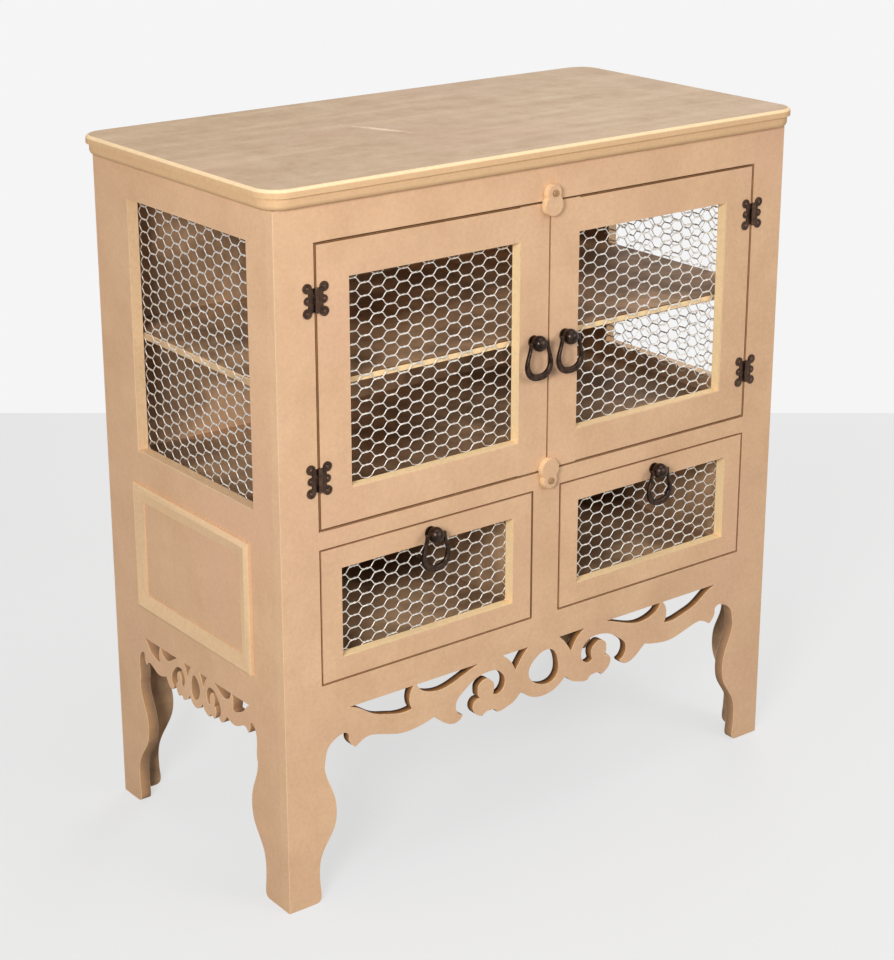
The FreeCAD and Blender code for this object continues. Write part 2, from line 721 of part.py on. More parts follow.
def drawer(side, name):
    in_x = drawer_in
    out_x = drawer_out
    open_in = in_x + drawer_frame_w
    open_out = out_x - drawer_frame_w
    open_low = drawer_low + drawer_frame_h
    open_high = drawer_top - drawer_frame_h
    pull_x = (in_x + out_x) / 2
    pull_z = drawer_top - drawer_frame_h / 2
    box_in = in_x + drawer_side_clear
    box_out = out_x - drawer_side_clear
    box_low = bottom_rail_top + drawer_run_clear
    box_top = drawer_top - drawer_box_below_front
    box_back = inner_back - drawer_back_clear
    panel_low = box_low + drawer_bottom_up
    panel_top = panel_low + drawer_bottom_t
    panel_in = box_in + drawer_side_t - drawer_groove
    panel_out = box_out - drawer_side_t + drawer_groove
    panel = box(side * panel_in, side * panel_out, inner_front - drawer_groove, box_back, panel_low,
                panel_top)
    front = box(side * in_x, side * out_x, face_y, inner_front, drawer_low, drawer_top)
    front = front.cut(box(side * open_in, side * open_out, face_y - cut_over, inner_front + cut_over,
                          open_low, open_high))
    front = front.cut([panel, screw_hole(side * pull_x, pull_z)])
    net_ends = sorted((side * open_in, side * open_out))
    pieces = {
        name + "_front": front,
        name + "_net": front_net(net_ends[0], net_ends[1], open_low, open_high),
        name + "_inner_side": box(side * box_in, side * (box_in + drawer_side_t), inner_front, box_back,
                                  box_low, box_top).cut(panel),
        name + "_outer_side": box(side * (box_out - drawer_side_t), side * box_out, inner_front, box_back,
                                  box_low, box_top).cut(panel),
        name + "_back": box(side * (box_in + drawer_side_t), side * (box_out - drawer_side_t),
                            box_back - drawer_side_t, box_back, panel_top, box_top),
        name + "_bottom": panel,
        name + "_pull_knob": pull_knob(side * pull_x, pull_z),
        name + "_pull_bail": pull_bail(side * pull_x, pull_z),
    }
    return pieces


def main():
    os.makedirs("parts", exist_ok=True)
    pieces = {"top_board": top_board(), "back_board": back_board(), "shelf_pins": shelf_pins()}
    pieces.update(front_frame())
    pieces.update(inside_boards())
    for side, word in ((-1, "left"), (1, "right")):
        pieces["side_board_" + word] = side_board(side)
        pieces["panel_moulding_" + word] = panel_moulding(side)
        pieces["side_net_" + word] = side_net(side)
        pieces.update(door(side, word + "_door"))
        pieces.update(drawer(side, word + "_drawer"))
    corners = [(side, height) for side in (-1, 1) for height in hinge_heights()]
    pieces["hinge_frame_leaves"] = Part.makeCompound(
        [hinge_leaf(side, side, height, hinge_knuckles()[0]) for side, height in corners])
    pieces["hinge_pins"] = Part.makeCompound([hinge_pin(side, height) for side, height in corners])
    heights = button_heights()
    pieces["turn_button_top"] = turn_button(heights["turn_button_top"], -1)
    pieces["turn_button_bottom"] = turn_button(heights["turn_button_bottom"], 1)
    pieces["button_screws"] = Part.makeCompound([button_screw(height) for height in heights.values()])
    for node, shape in pieces.items():
        save(shape, node)
    print(len(pieces), "nodes")


main()
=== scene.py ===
"""Looks of a low cupboard with netted doors, drawers and sides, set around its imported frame.

Sizes in the classes are in millimetres, and mm() turns them to metres.
X runs to the right along the front, Y to the back, Z up.
"""

import json
import logging
import math
from dataclasses import dataclass
from enum import Enum
from functools import partial
from typing import Callable, ClassVar, Iterable

import bmesh
import bpy
from bmesh.types import BMEdge, BMesh, BMFace
from bpy.types import GeometryNodeTree, Material, Mesh, Node, NodeSocket, NodeTree, Object
from mathutils import Matrix, Vector
from mathutils.bvhtree import BVHTree


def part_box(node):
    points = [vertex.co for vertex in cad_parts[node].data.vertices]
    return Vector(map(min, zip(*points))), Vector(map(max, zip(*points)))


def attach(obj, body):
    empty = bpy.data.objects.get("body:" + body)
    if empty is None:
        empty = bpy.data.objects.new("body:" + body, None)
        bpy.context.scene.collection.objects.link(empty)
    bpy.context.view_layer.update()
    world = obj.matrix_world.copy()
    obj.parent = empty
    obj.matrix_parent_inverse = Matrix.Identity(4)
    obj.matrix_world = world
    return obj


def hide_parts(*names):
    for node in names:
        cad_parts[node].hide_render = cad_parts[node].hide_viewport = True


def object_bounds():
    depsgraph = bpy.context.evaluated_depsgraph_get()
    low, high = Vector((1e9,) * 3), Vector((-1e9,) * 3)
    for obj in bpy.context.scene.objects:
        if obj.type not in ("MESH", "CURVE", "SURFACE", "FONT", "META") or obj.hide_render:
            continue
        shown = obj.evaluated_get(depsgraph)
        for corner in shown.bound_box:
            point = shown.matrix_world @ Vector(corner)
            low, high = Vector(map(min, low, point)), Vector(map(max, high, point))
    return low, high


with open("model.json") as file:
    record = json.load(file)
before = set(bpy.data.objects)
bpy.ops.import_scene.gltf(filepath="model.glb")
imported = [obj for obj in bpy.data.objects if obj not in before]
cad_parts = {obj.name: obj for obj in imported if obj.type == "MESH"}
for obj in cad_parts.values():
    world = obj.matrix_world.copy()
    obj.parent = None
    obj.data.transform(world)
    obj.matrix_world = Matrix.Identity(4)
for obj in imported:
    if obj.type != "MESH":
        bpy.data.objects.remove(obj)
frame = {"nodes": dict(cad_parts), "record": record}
CAD_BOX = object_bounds()

LOG = logging.getLogger("cupboard")
RECORD = frame["record"]
BODY_OF = {node: body for body, nodes in RECORD["behaviour"]["bodies"].items() for node in nodes}
SLOT_OF = {part["node"]: part["material_slot"] for part in RECORD["subparts"]}
BOX_OF = {node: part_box(node) for node in SLOT_OF}

# Points of a CAD node that lie nearer than this are one point
WELD_MM = 0.002
# Faces that turn less than this are one plane
FLAT_DEG = 0.4
# Rows of faces in each eased edge
EASE_ROWS = 2

# A normal's share along an axis: below the first on a wall, above the others on broad and on level faces
WALL = 0.3
BROAD = 0.95
LEVEL = 0.985


def mm(value: float) -> float:
    """Turns millimetres to metres."""
    return value / 1000


def colour(code: str) -> tuple[float, float, float, float]:
    """Turns an sRGB hex code to linear RGBA.

    Args:
        code: Six hex digits after a #.

    Returns:
        Linear red, green and blue, and an alpha of 1.
    """
    values = [int(code[at:at + 2], 16) / 255 for at in (1, 3, 5)]
    linear = [v / 12.92 if v <= 0.04045 else ((v + 0.055) / 1.055) ** 2.4 for v in values]
    return (*linear, 1.0)


def ends(side: str, span: tuple[float, float]) -> dict[str, float]:
    """A range node's two inputs of one side, From or To."""
    return {side + " Min": span[0], side + " Max": span[1]}


def nodes_in(*slots: str) -> tuple[str, ...]:
    """The CAD nodes that the record gives to some material slots."""
    return tuple(node for node in SLOT_OF if SLOT_OF[node] in slots)


def outer_box(body: str) -> tuple[Vector, Vector]:
    """The outer corners of a door's frame or a drawer's front.

    Args:
        body: The door's or the drawer's body.

    Returns:
        The lowest and the highest corner, in metres.
    """
    parts = [BOX_OF[name] for name in nodes_in("raw_board") if BODY_OF[name] == body]
    low = Vector([min(corner[axis] for corner, _ in parts) for axis in range(3)])
    high = Vector([max(corner[axis] for _, corner in parts) for axis in range(3)])
    return low, high


FRONT_BOX = {body: outer_box(body) for body in ("left_door", "right_door", "left_drawer", "right_drawer")}


def add_node(tree: NodeTree, kind: str, inputs: dict | None = None, **settings: object) -> Node:
    """Adds a node with its settings, and links or sets its inputs.

    Args:
        tree: The shader or geometry tree.
        kind: The node's type name.
        inputs: Values by the input's name or place. A socket is linked, and a node by the first output
            that it has in use. A list links each of its own.
        **settings: The node's own properties.

    Returns:
        The new node.
    """
    node = tree.nodes.new(kind)
    for name, value in settings.items():
        setattr(node, name, value)
    for name, given in (inputs or {}).items():
        for value in given if isinstance(given, list) else [given]:
            if isinstance(value, Node):
                value = next(output for output in value.outputs if output.enabled)
            if isinstance(value, NodeSocket):
                tree.links.new(value, node.inputs[name])
            else:
                node.inputs[name].default_value = value
    return node


# Adds a node to one tree: add_node with the tree already given
Adder = Callable[..., Node]
# A geometry tree's inputs by name
Sockets = dict[str, NodeSocket]


def settled(host: Object, name: str) -> Mesh:
    """Takes the plain mesh that a host's modifiers make, and removes the host and its draft.

    Args:
        host: An object with its modifiers set, not yet in the scene.
        name: The new mesh's name.

    Returns:
        The mesh, with no modifier left.
    """
    bpy.context.scene.collection.objects.link(host)
    depsgraph = bpy.context.evaluated_depsgraph_get()
    mesh = bpy.data.meshes.new_from_object(host.evaluated_get(depsgraph), depsgraph=depsgraph)
    draft = host.data
    host.modifiers.clear()
    bpy.data.objects.remove(host)
    bpy.data.meshes.remove(draft)
    mesh.name = name
    return mesh


def set_float(mesh: Mesh, name: str, values: list[float], domain: str = "POINT") -> None:
    """Writes a float attribute.

    Args:
        mesh: The mesh.
        name: The attribute's name.
        values: One value for each point or face.
        domain: POINT or FACE.
    """
    mesh.attributes.new(name, "FLOAT", domain).data.foreach_set("value", values)


def publish(name: str, mesh: Mesh, body: str, nodes: Iterable[str] = ()) -> None:
    """Puts a finished mesh in the scene as a piece of the cupboard.

    Args:
        name: The piece's name.
        mesh: Its mesh, in the row frame.
        body: The body that it rides on.
        nodes: CAD nodes that it stands for.
    """
    piece = bpy.data.objects.new(name, mesh)
    bpy.context.scene.collection.objects.link(piece)
    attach(piece, body)
    if nodes:
        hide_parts(*nodes)
    LOG.info("%s: %d faces on %s", name, len(mesh.polygons), body)


# Finishes


class Finish:
    """One real material, which each finish gives its name and its surface."""

    name: str

    def surface(self, add: Adder, place: NodeSocket) -> Node:
        """Draws the surface.

        Args:
            add: Adds a node to the material's tree.
            place: Object coordinates.

        Returns:
            The last shader.
        """
        raise NotImplementedError

    def build(self) -> Material:
        """Builds the material.

        Returns:
            The material, with its own surface.
        """
        material = bpy.data.materials.new(self.name)
        material.use_nodes = True
        tree = material.node_tree
        tree.nodes.clear()
        add = partial(add_node, tree)
        place = add("ShaderNodeTexCoord").outputs["Object"]
        add("ShaderNodeOutputMaterial", {"Surface": self.surface(add, place)})
        return material


@dataclass(frozen=True)
class Patches:
    """Cloudy patches of two tones, of one real size."""

    size_mm: float
    dark: str
    light: str
    detail: float = 2.0
    roughness: float = 0.5
    span: tuple[float, float] = (0.0, 1.0)

    def build(self, add: Adder, place: NodeSocket) -> Node:
        """Draws the patches.

        Args:
            add: Adds a node to the material's tree.
            place: Object coordinates.

        Returns:
            The colour.
        """
        noise = add("ShaderNodeTexNoise", {
            "Vector": place, "Scale": 1 / mm(self.size_mm), "Detail": self.detail,
            "Roughness": self.roughness})
        spread = add("ShaderNodeMapRange", {"Value": noise, **ends("From", self.span)})
        return add("ShaderNodeMix", {
            "Factor": spread, "A": colour(self.dark), "B": colour(self.light)}, data_type="RGBA")


@dataclass(frozen=True)
class RawBoard(Finish):
    """Sanded medium density fibreboard, unsealed.

    Matt and even, with faint clouds from the pressing. Routed reveals are paler, saw cuts in the fretwork
    are burnt brown and darken towards the back by painted shade, the gaps round doors and drawers get
    painted shade, eased edges a pale painted highlight, and the inner faces a painted shade, brown and
    patchy.
    Real fibres are under a millimetre wide: the fleck is drawn coarse enough to show in the render.
    """

    name: str = "raw_fibreboard_sanded"
    sanded: Patches = Patches(70.0, "#D6AD88", "#E0B892", 5.0, 0.65, (0.34, 0.66))
    # Painted shade of the inner faces: brown and patchy
    inside_shade: Patches = Patches(110.0, "#96785C", "#D3AC86", 4.0, 0.6, (0.4, 0.62))
    blush: str = "#DBAF90"
    sawn_edge: str = "#FADAA8"
    # Pale painted highlight on eased edges
    arris: str = "#F6D8AE"
    # Saw burn colour at the front, and the painted shade that darkens it to the back; along the gaps both are
    # painted shade
    scorch_shade_front: str = "#B98350"
    scorch_shade_back: str = "#3C2515"
    blush_mm: float = 190.0
    blush_span: tuple[float, float] = (0.5, 0.7)
    blush_share: float = 0.5
    scorch_shade_streak_mm: float = 16.0
    scorch_shade_uneven: float = 0.5
    scorch_shade_span: tuple[float, float] = (0.3, 1.1)
    fleck_mm: float = 5.0
    fleck_span: tuple[float, float] = (0.3, 0.7)
    fleck_shades: tuple[float, float] = (0.94, 1.05)
    sawn_share: float = 0.95
    arris_share: float = 0.4
    roughness: tuple[float, float] = (0.74, 0.9)
    bump_mm: float = 0.12
    bump_strength: float = 0.35
    ior: float = 1.48
    specular: float = 0.25

    def clouds(self, add: Adder, place: NodeSocket) -> Node:
        """Clouds and wider warm patches of the sanded face.

        Args:
            add: Adds a node to the material's tree.
            place: Object coordinates.

        Returns:
            The colour.
        """
        wide = add("ShaderNodeTexNoise", {"Vector": place, "Scale": 1 / mm(self.blush_mm), "Detail": 1.0})
        reach = add("ShaderNodeMapRange", {
            "Value": wide, **ends("From", self.blush_span), "To Max": self.blush_share})
        return add("ShaderNodeMix", {
            "Factor": reach, "A": self.sanded.build(add, place), "B": colour(self.blush)},
            data_type="RGBA")

    def scorch_and_gap_shade(self, add: Adder, place: NodeSocket) -> Node:
        """Saw burn and painted shade: brown near the front face, darkened by painted shade to nearly black at
        the back; along the gaps it is painted shade alone.

        Args:
            add: Adds a node to the material's tree.
            place: Object coordinates.

        Returns:
            The colour, which follows the points' mark depth.
        """
        depth = add("ShaderNodeAttribute", attribute_name="depth")
        streaks = add("ShaderNodeTexNoise", {
            "Vector": place, "Scale": 1 / mm(self.scorch_shade_streak_mm), "Detail": 2.0})
        uneven = add("ShaderNodeMath", {
            0: streaks, 1: self.scorch_shade_uneven, 2: depth.outputs["Fac"]}, operation="MULTIPLY_ADD")
        spread = add("ShaderNodeMapRange", {"Value": uneven, **ends("From", self.scorch_shade_span)})
        return add("ShaderNodeMix", {
            "Factor": spread, "A": colour(self.scorch_shade_front), "B": colour(self.scorch_shade_back)},
            data_type="RGBA")

    def surface(self, add: Adder, place: NodeSocket) -> Node:
        """Draws the board by its faces' marks: the inner faces' painted shade, sawn, saw burn with painted
        shade, the eased edges' painted highlight, and tone.

        Args:
            add: Adds a node to the material's tree.
            place: Object coordinates.

        Returns:
            The last shader.
        """
        tint = self.clouds(add, place)
        # Inner faces and saw cuts take painted shade, and eased edges a painted highlight
        layers = (("inner", 1.0, self.inside_shade.build(add, place)),
                  ("sawn", self.sawn_share, colour(self.sawn_edge)),
                  ("scorched", 1.0, self.scorch_and_gap_shade(add, place)),
                  ("arris", self.arris_share, colour(self.arris)))
        for name, share, over in layers:
            mark = add("ShaderNodeAttribute", attribute_name=name)
            shown = add("ShaderNodeMath", {0: mark.outputs["Fac"], 1: share}, operation="MULTIPLY")
            tint = add("ShaderNodeMix", {"Factor": shown, "A": tint, "B": over}, data_type="RGBA")
        flecks = add("ShaderNodeTexNoise", {
            "Vector": place, "Scale": 1 / mm(self.fleck_mm), "Detail": 3.0, "Roughness": 0.7})
        fleck_shade = add("ShaderNodeMapRange", {
            "Value": flecks, **ends("From", self.fleck_span), **ends("To", self.fleck_shades)})
        tone = add("ShaderNodeAttribute", attribute_name="tone")
        shade = add("ShaderNodeMath", {0: fleck_shade, 1: tone.outputs["Fac"]}, operation="MULTIPLY")
        toned = add("ShaderNodeVectorMath", {0: tint, "Scale": shade}, operation="SCALE")
        rough = add("ShaderNodeMapRange", {"Value": flecks, **ends("To", self.roughness)})
        bump = add("ShaderNodeBump", {
            "Strength": self.bump_strength, "Distance": mm(self.bump_mm), "Height": flecks})
        return add("ShaderNodeBsdfPrincipled", {
            "Base Color": toned, "Roughness": rough, "Normal": bump, "IOR": self.ior,
            "Specular IOR Level": self.specular})


@dataclass(frozen=True)
class GreyerTop(RawBoard):
    """The same fibreboard on the top, drawn darker and greyer than the other boards, with long faint streaks
    and one pale scratch.
    """

    name: str = "raw_fibreboard_greyer_top"
    sanded: Patches = Patches(45.0, "#B6997C", "#C6AC8F", 5.0, 0.65, (0.34, 0.66))
    blush: str = "#C0A088"
    sawn_edge: str = "#E3B98A"
    # A brighter painted highlight on the top's round-over
    arris: str = "#FBDDB2"
    sawn_share: float = 0.8
    arris_share: float = 0.8
    streak_mm: tuple[float, float] = (240.0, 30.0)
    streak_span: tuple[float, float] = (0.45, 0.75)
    streak_share: float = 0.22
    scratch_at_mm: tuple[float, float] = (-106.0, 6.0)
    scratch_mm: tuple[float, float] = (92.0, 14.0)
    scratch_turn_deg: float = -66.0
    scratch_pale: str = "#EED6B6"
    scratch_span: tuple[float, float] = (1.0, 1.9)
    scratch_share: float = 0.9
    wobble_mm: float = 14.0
    wobble: float = 1.6

    def clouds(self, add: Adder, place: NodeSocket) -> Node:
        """Clouds, streaks along the board and the scratch.

        Args:
            add: Adds a node to the material's tree.
            place: Object coordinates.

        Returns:
            The colour.
        """
        along, across = self.streak_mm
        stretched = add("ShaderNodeMapping", {"Vector": place, "Scale": (1 / mm(along), 1 / mm(across), 1.0)})
        streaks = add("ShaderNodeTexNoise", {"Vector": stretched, "Scale": 1.0, "Detail": 3.0})
        spread = add("ShaderNodeMapRange", {
            "Value": streaks, **ends("From", self.streak_span), "To Max": self.streak_share})
        tint = super().clouds(add, place)
        for shown in (spread, self.scratch(add, place)):
            tint = add("ShaderNodeMix", {
                "Factor": shown, "A": tint, "B": colour(self.scratch_pale)}, data_type="RGBA")
        return tint

    def scratch(self, add: Adder, place: NodeSocket) -> Node:
        """One short pale scuff near the middle of the top.

        Args:
            add: Adds a node to the material's tree.
            place: Object coordinates.

        Returns:
            How much of the scuff shows.
        """
        long, wide = self.scratch_mm
        x, y = self.scratch_at_mm
        local = add("ShaderNodeMapping", {
            "Vector": place, "Location": (mm(x), mm(y), CAD_BOX[1].z),
            "Rotation": (0.0, 0.0, math.radians(self.scratch_turn_deg)),
            "Scale": (mm(long) / 2, mm(wide) / 2, 1.0)}, vector_type="TEXTURE")
        wobble = add("ShaderNodeTexNoise", {"Vector": place, "Scale": 1 / mm(self.wobble_mm)})
        reach = add("ShaderNodeVectorMath", {0: local}, operation="LENGTH")
        uneven = add("ShaderNodeMath", {0: wobble, 1: self.wobble, 2: reach}, operation="MULTIPLY_ADD")
        return add("ShaderNodeMapRange", {
            "Value": uneven, **ends("From", self.scratch_span), **ends("To", (self.scratch_share, 0.0))})


@dataclass(frozen=True)
class PlatedMetal(Finish):
    """A thin metal coat whose tone and shine change together in small patches."""

    bright: str
    dull: str
    patch_mm: float
    span: tuple[float, float]
    metallic: float
    roughness: tuple[float, float]

    def surface(self, add: Adder, place: NodeSocket) -> Node:
        """Draws the coat.

        Args:
            add: Adds a node to the material's tree.
            place: Object coordinates.

        Returns:
            The last shader.
        """
        patches = add("ShaderNodeTexNoise", {"Vector": place, "Scale": 1 / mm(self.patch_mm), "Detail": 2.0})
        spread = add("ShaderNodeMapRange", {"Value": patches, **ends("From", self.span)})
        tint = add("ShaderNodeMix", {
            "Factor": spread, "A": colour(self.dull), "B": colour(self.bright)}, data_type="RGBA")
        rough = add("ShaderNodeMapRange", {"Value": patches, **ends("To", self.roughness)})
        return add("ShaderNodeBsdfPrincipled", {
            "Base Color": tint, "Metallic": self.metallic, "Roughness": rough})


@dataclass(frozen=True)
class GalvanisedWire(PlatedMetal):
    """Hot-dip galvanised steel wire: a pale grey metal, with the zinc's broken, satin shine."""

    name: str = "galvanised_steel_wire"
    bright: str = "#F3EFE8"
    dull: str = "#CFCAC1"
    patch_mm: float = 3.5
    span: tuple[float, float] = (0.35, 0.65)
    metallic: float = 0.75
    roughness: tuple[float, float] = (0.38, 0.58)


@dataclass(frozen=True)
class DullBrass(PlatedMetal):
    """Brass plated screws that have gone dull: a stained brownish yellow, nearly the tone of the board."""

    name: str = "dull_brass_plate"
    bright: str = "#B8946A"
    dull: str = "#8E6C49"
    patch_mm: float = 2.5
    span: tuple[float, float] = (0.0, 1.0)
    metallic: float = 0.7
    roughness: tuple[float, float] = (0.35, 0.55)


@dataclass(frozen=True)
class BlackenedBronze(Finish):
    """Cast zinc hardware, plated and blackened: nearly black, and brown where its high spots are rubbed."""

    name: str = "blackened_bronze_casting"
    black: str = "#251B17"
    brown: str = "#80604C"
    patina_mm: float = 7.0
    patina_share: float = 0.55
    patina_span: tuple[float, float] = (0.3, 0.7)
    worn_span: tuple[float, float] = (0.28, 0.95)
    grit_mm: float = 1.6
    metallic: float = 0.8
    roughness: tuple[float, float] = (0.22, 0.4)
    bump_mm: float = 0.15
    bump_strength: float = 0.4

    def surface(self, add: Adder, place: NodeSocket) -> Node:
        """Draws the casting by its points' mark rubbed.

        Args:
            add: Adds a node to the material's tree.
            place: Object coordinates.

        Returns:
            The last shader.
        """
        patina = add("ShaderNodeTexNoise", {"Vector": place, "Scale": 1 / mm(self.patina_mm), "Detail": 3.0})
        grit = add("ShaderNodeTexNoise", {"Vector": place, "Scale": 1 / mm(self.grit_mm), "Detail": 2.0})
        rubbed = add("ShaderNodeAttribute", attribute_name="rubbed")
        worn = add("ShaderNodeMath", {
            0: patina, 1: self.patina_share, 2: rubbed.outputs["Fac"]}, operation="MULTIPLY_ADD")
        spread = add("ShaderNodeMapRange", {"Value": worn, **ends("From", self.worn_span)})
        tint = add("ShaderNodeMix", {
            "Factor": spread, "A": colour(self.black), "B": colour(self.brown)}, data_type="RGBA")
        rough = add("ShaderNodeMapRange", {
            "Value": patina, **ends("From", self.patina_span), **ends("To", self.roughness)})
        bump = add("ShaderNodeBump", {
            "Strength": self.bump_strength, "Distance": mm(self.bump_mm), "Height": grit})
        return add("ShaderNodeBsdfPrincipled", {
            "Base Color": tint, "Metallic": self.metallic, "Roughness": rough, "Normal": bump})


@dataclass(frozen=True)
class PlainPaper(Finish):
    """Pale studio floor: matt, with the object's soft shadow and an even tone to the camera."""

    name: str = "studio_floor_paper"
    tone: str = "#E9E9E9"
    diffuse: str = "#F0F0F0"
    bounce: str = "#9A9A9A"
    glow_share: float = 0.78
    tooth_mm: float = 3.0
    bump_mm: float = 0.1
    bump_strength: float = 0.05

    def surface(self, add: Adder, place: NodeSocket) -> Node:
        """Draws the paper, which throws less light back than it shows.

        Args:
            add: Adds a node to the material's tree.
            place: Object coordinates.

        Returns:
            The last shader.
        """
        tooth = add("ShaderNodeTexNoise", {"Vector": place, "Scale": 1 / mm(self.tooth_mm)})
        bump = add("ShaderNodeBump", {
            "Strength": self.bump_strength, "Distance": mm(self.bump_mm), "Height": tooth})
        glow = add("ShaderNodeEmission", {"Color": colour(self.tone), "Strength": 1.0})
        path = add("ShaderNodeLightPath")
        seen = add("ShaderNodeMath", {
            0: path.outputs["Is Camera Ray"], 1: path.outputs["Is Glossy Ray"]}, operation="MAXIMUM")
        tint = add("ShaderNodeMix", {
            "Factor": seen, "A": colour(self.bounce), "B": colour(self.diffuse)}, data_type="RGBA")
        matt = add("ShaderNodeBsdfDiffuse", {"Color": tint, "Normal": bump})
        share = add("ShaderNodeMath", {0: seen, 1: self.glow_share}, operation="MULTIPLY")
        return add("ShaderNodeMixShader", {0: share, 1: matt, 2: glow})


# Boards


def merged_copy(node: str) -> BMesh:
    """Copies a CAD node's loose triangles into one welded mesh.

    Args:
        node: The CAD node.

    Returns:
        The welded mesh, with flat areas joined.
    """
    made = bmesh.new()
    made.from_mesh(frame["nodes"][node].data)
    bmesh.ops.remove_doubles(made, verts=made.verts, dist=mm(WELD_MM))
    bmesh.ops.dissolve_limit(made, angle_limit=math.radians(FLAT_DEG), verts=made.verts, edges=made.edges,
                             use_dissolve_boundaries=False)
    return made


def shaded(made: BMesh, name: str, crease_deg: float) -> Mesh:
    """Turns a bmesh to a smooth-shaded mesh with sharp creases and weighted normals.

    Args:
        made: The bmesh, which is freed.
        name: The mesh's name.
        crease_deg: Edges that turn more than this stay sharp.

    Returns:
        The plain mesh.
    """
    for face in made.faces:
        face.smooth = True
    for edge in made.edges:
        edge.smooth = len(edge.link_faces) == 2 and edge.calc_face_angle(0.0) < math.radians(crease_deg)
    draft = bpy.data.meshes.new(name)
    made.to_mesh(draft)
    made.free()
    host = bpy.data.objects.new(name + "_draft", draft)
    host.modifiers.new("weighted", "WEIGHTED_NORMAL").keep_sharp = True
    return settled(host, name)


def thin_axis(node: str) -> int:
    """The axis across a board's thickness: 0, 1 or 2 for X, Y or Z."""
    low, high = BOX_OF[node]
    return min(range(3), key=lambda axis: high[axis] - low[axis])


def board_depth(node: str, point: Vector) -> float:
    """How far a point lies behind its board's outer face, from 0 to 1.

    Args:
        node: The board.
        point: The point, in metres.

    Returns:
        The share of the board's thickness, and 0 for a level board.
    """
    low, high = BOX_OF[node]
    axis = thin_axis(node)
    if axis == 2:
        return 0.0
    outer, inner = low[axis], high[axis]
    if axis == 0 and outer + inner >= 0:
        outer, inner = inner, outer
    return (point[axis] - outer) / (inner - outer)


@dataclass(frozen=True)
class FaceMarks:
    """What one face of a board looks like: painted shade on inner faces, routed, burnt by the saw and
    deepened with painted shade, or an eased edge with a painted highlight.
    """

    inner: float = 0.0
    sawn: float = 0.0
    scorched: float = 0.0
    arris: float = 0.0
    tone: float = 1.0

    near: ClassVar[float] = mm(0.6)
    gap_reach: ClassVar[float] = mm(3.4)
    # Painted shade along the gaps round doors and drawers: a darker tone on eased edges, and a share of the
    # shaded burn colour on walls
    gap_shade_tone: ClassVar[float] = 0.4
    gap_shade: ClassVar[float] = 0.55
    # Saw burn with painted shade on the legs' fret walls
    leg_scorch_and_shade: ClassVar[float] = 0.6
    outside_sawn: ClassVar[float] = 0.1
    inside_sawn: ClassVar[float] = 0.3
    window_sawn: ClassVar[float] = 0.35
    moulding_sawn: ClassVar[float] = 0.4
    button_sawn: ClassVar[float] = 0.6
    rail_top: ClassVar[float] = BOX_OF["front_apron"][1].z
    side_x: ClassVar[float] = BOX_OF["side_board_right"][1].x
    back_y: ClassVar[float] = BOX_OF["back_board"][1].y

    @classmethod
    def of(cls, node: str, face: BMFace, axis: int, rounded: bool) -> "FaceMarks":
        """Marks one face.

        Args:
            node: The board.
            face: The face.
            axis: The board's thin axis.
            rounded: Whether it belongs to an eased arris.

        Returns:
            The face's marks.
        """
        place = face.calc_center_median()
        if rounded:
            # Eased edges along a gap get painted shade, the others a pale painted highlight
            return cls(scorched=1.0, tone=cls.gap_shade_tone) if cls.at_gap(place) else cls(arris=1.0)
        turned = face.normal
        wall = abs(turned[axis]) < WALL
        if node == "top_board":
            # On the top, sloped round-over faces carry a painted highlight
            return cls(sawn=float(turned.z < LEVEL), arris=float(WALL <= turned.z < LEVEL))
        if node.startswith("panel_moulding"):
            # The moulding's crest faces carry a painted highlight
            return cls(sawn=cls.moulding_sawn, arris=float(abs(turned.x) > LEVEL))
        # Faces inside the cupboard carry painted shade
        if SLOT_OF[node] in ("inside_board", "drawer_box"):
            if node == "shelf" and turned.y < -BROAD:
                return cls(sawn=1.0)
            return cls(inner=1.0, sawn=cls.inside_sawn if wall else 0.0)
        if wall:
            return cls.of_wall(node, place)
        # Inward faces of the outer boards carry the same painted shade
        outward = -1.0 if turned.y < 0 else 1.0
        hidden = place.y * outward < 0 if axis == 1 else turned[axis] * place[axis] < 0
        return cls(inner=float(hidden))

    @classmethod
    def at_gap(cls, place: Vector) -> bool:
        """Looks whether a place lies along the gap round a door or a drawer's front.

        Args:
            place: The place, in metres.

        Returns:
            True within the gap's reach, on the front.
        """
        for low, high in FRONT_BOX.values():
            beyond = max(low.x - place.x, place.x - high.x, low.z - place.z, place.z - high.z)
            if place.y <= 0 and abs(beyond) < cls.gap_reach:
                return True
        return False

    @classmethod
    def of_wall(cls, node: str, place: Vector) -> "FaceMarks":
        """Marks a face that a cutter left.

        Args:
            node: The board.
            place: The face's middle.

        Returns:
            The face's marks.
        """
        outside = abs(place.x) > cls.side_x - cls.near or place.y > cls.back_y - cls.near
        if outside or place.z < cls.near:
            return cls(sawn=cls.outside_sawn)
        # Fret walls take saw burn, darkened by painted shade towards the back
        if node in Joinery.fretted and place.z < cls.rail_top - cls.near:
            return cls(scorched=1.0 if node == "front_apron" else cls.leg_scorch_and_shade)
        if node.startswith("side"):
            return cls(sawn=cls.window_sawn)
        if "_door_" in node or node.endswith("drawer_front"):
            corners = FRONT_BOX[BODY_OF[node]]
            if not any(abs(place[axis] - corner[axis]) < cls.near for axis in (0, 2) for corner in corners):
                return cls(sawn=1.0)
        # Walls at the fronts' corners and round the openings get painted shade, and the turn buttons' walls
        # stay sawn
        return cls(sawn=cls.button_sawn) if node.startswith("turn_button") else cls(scorched=cls.gap_shade)


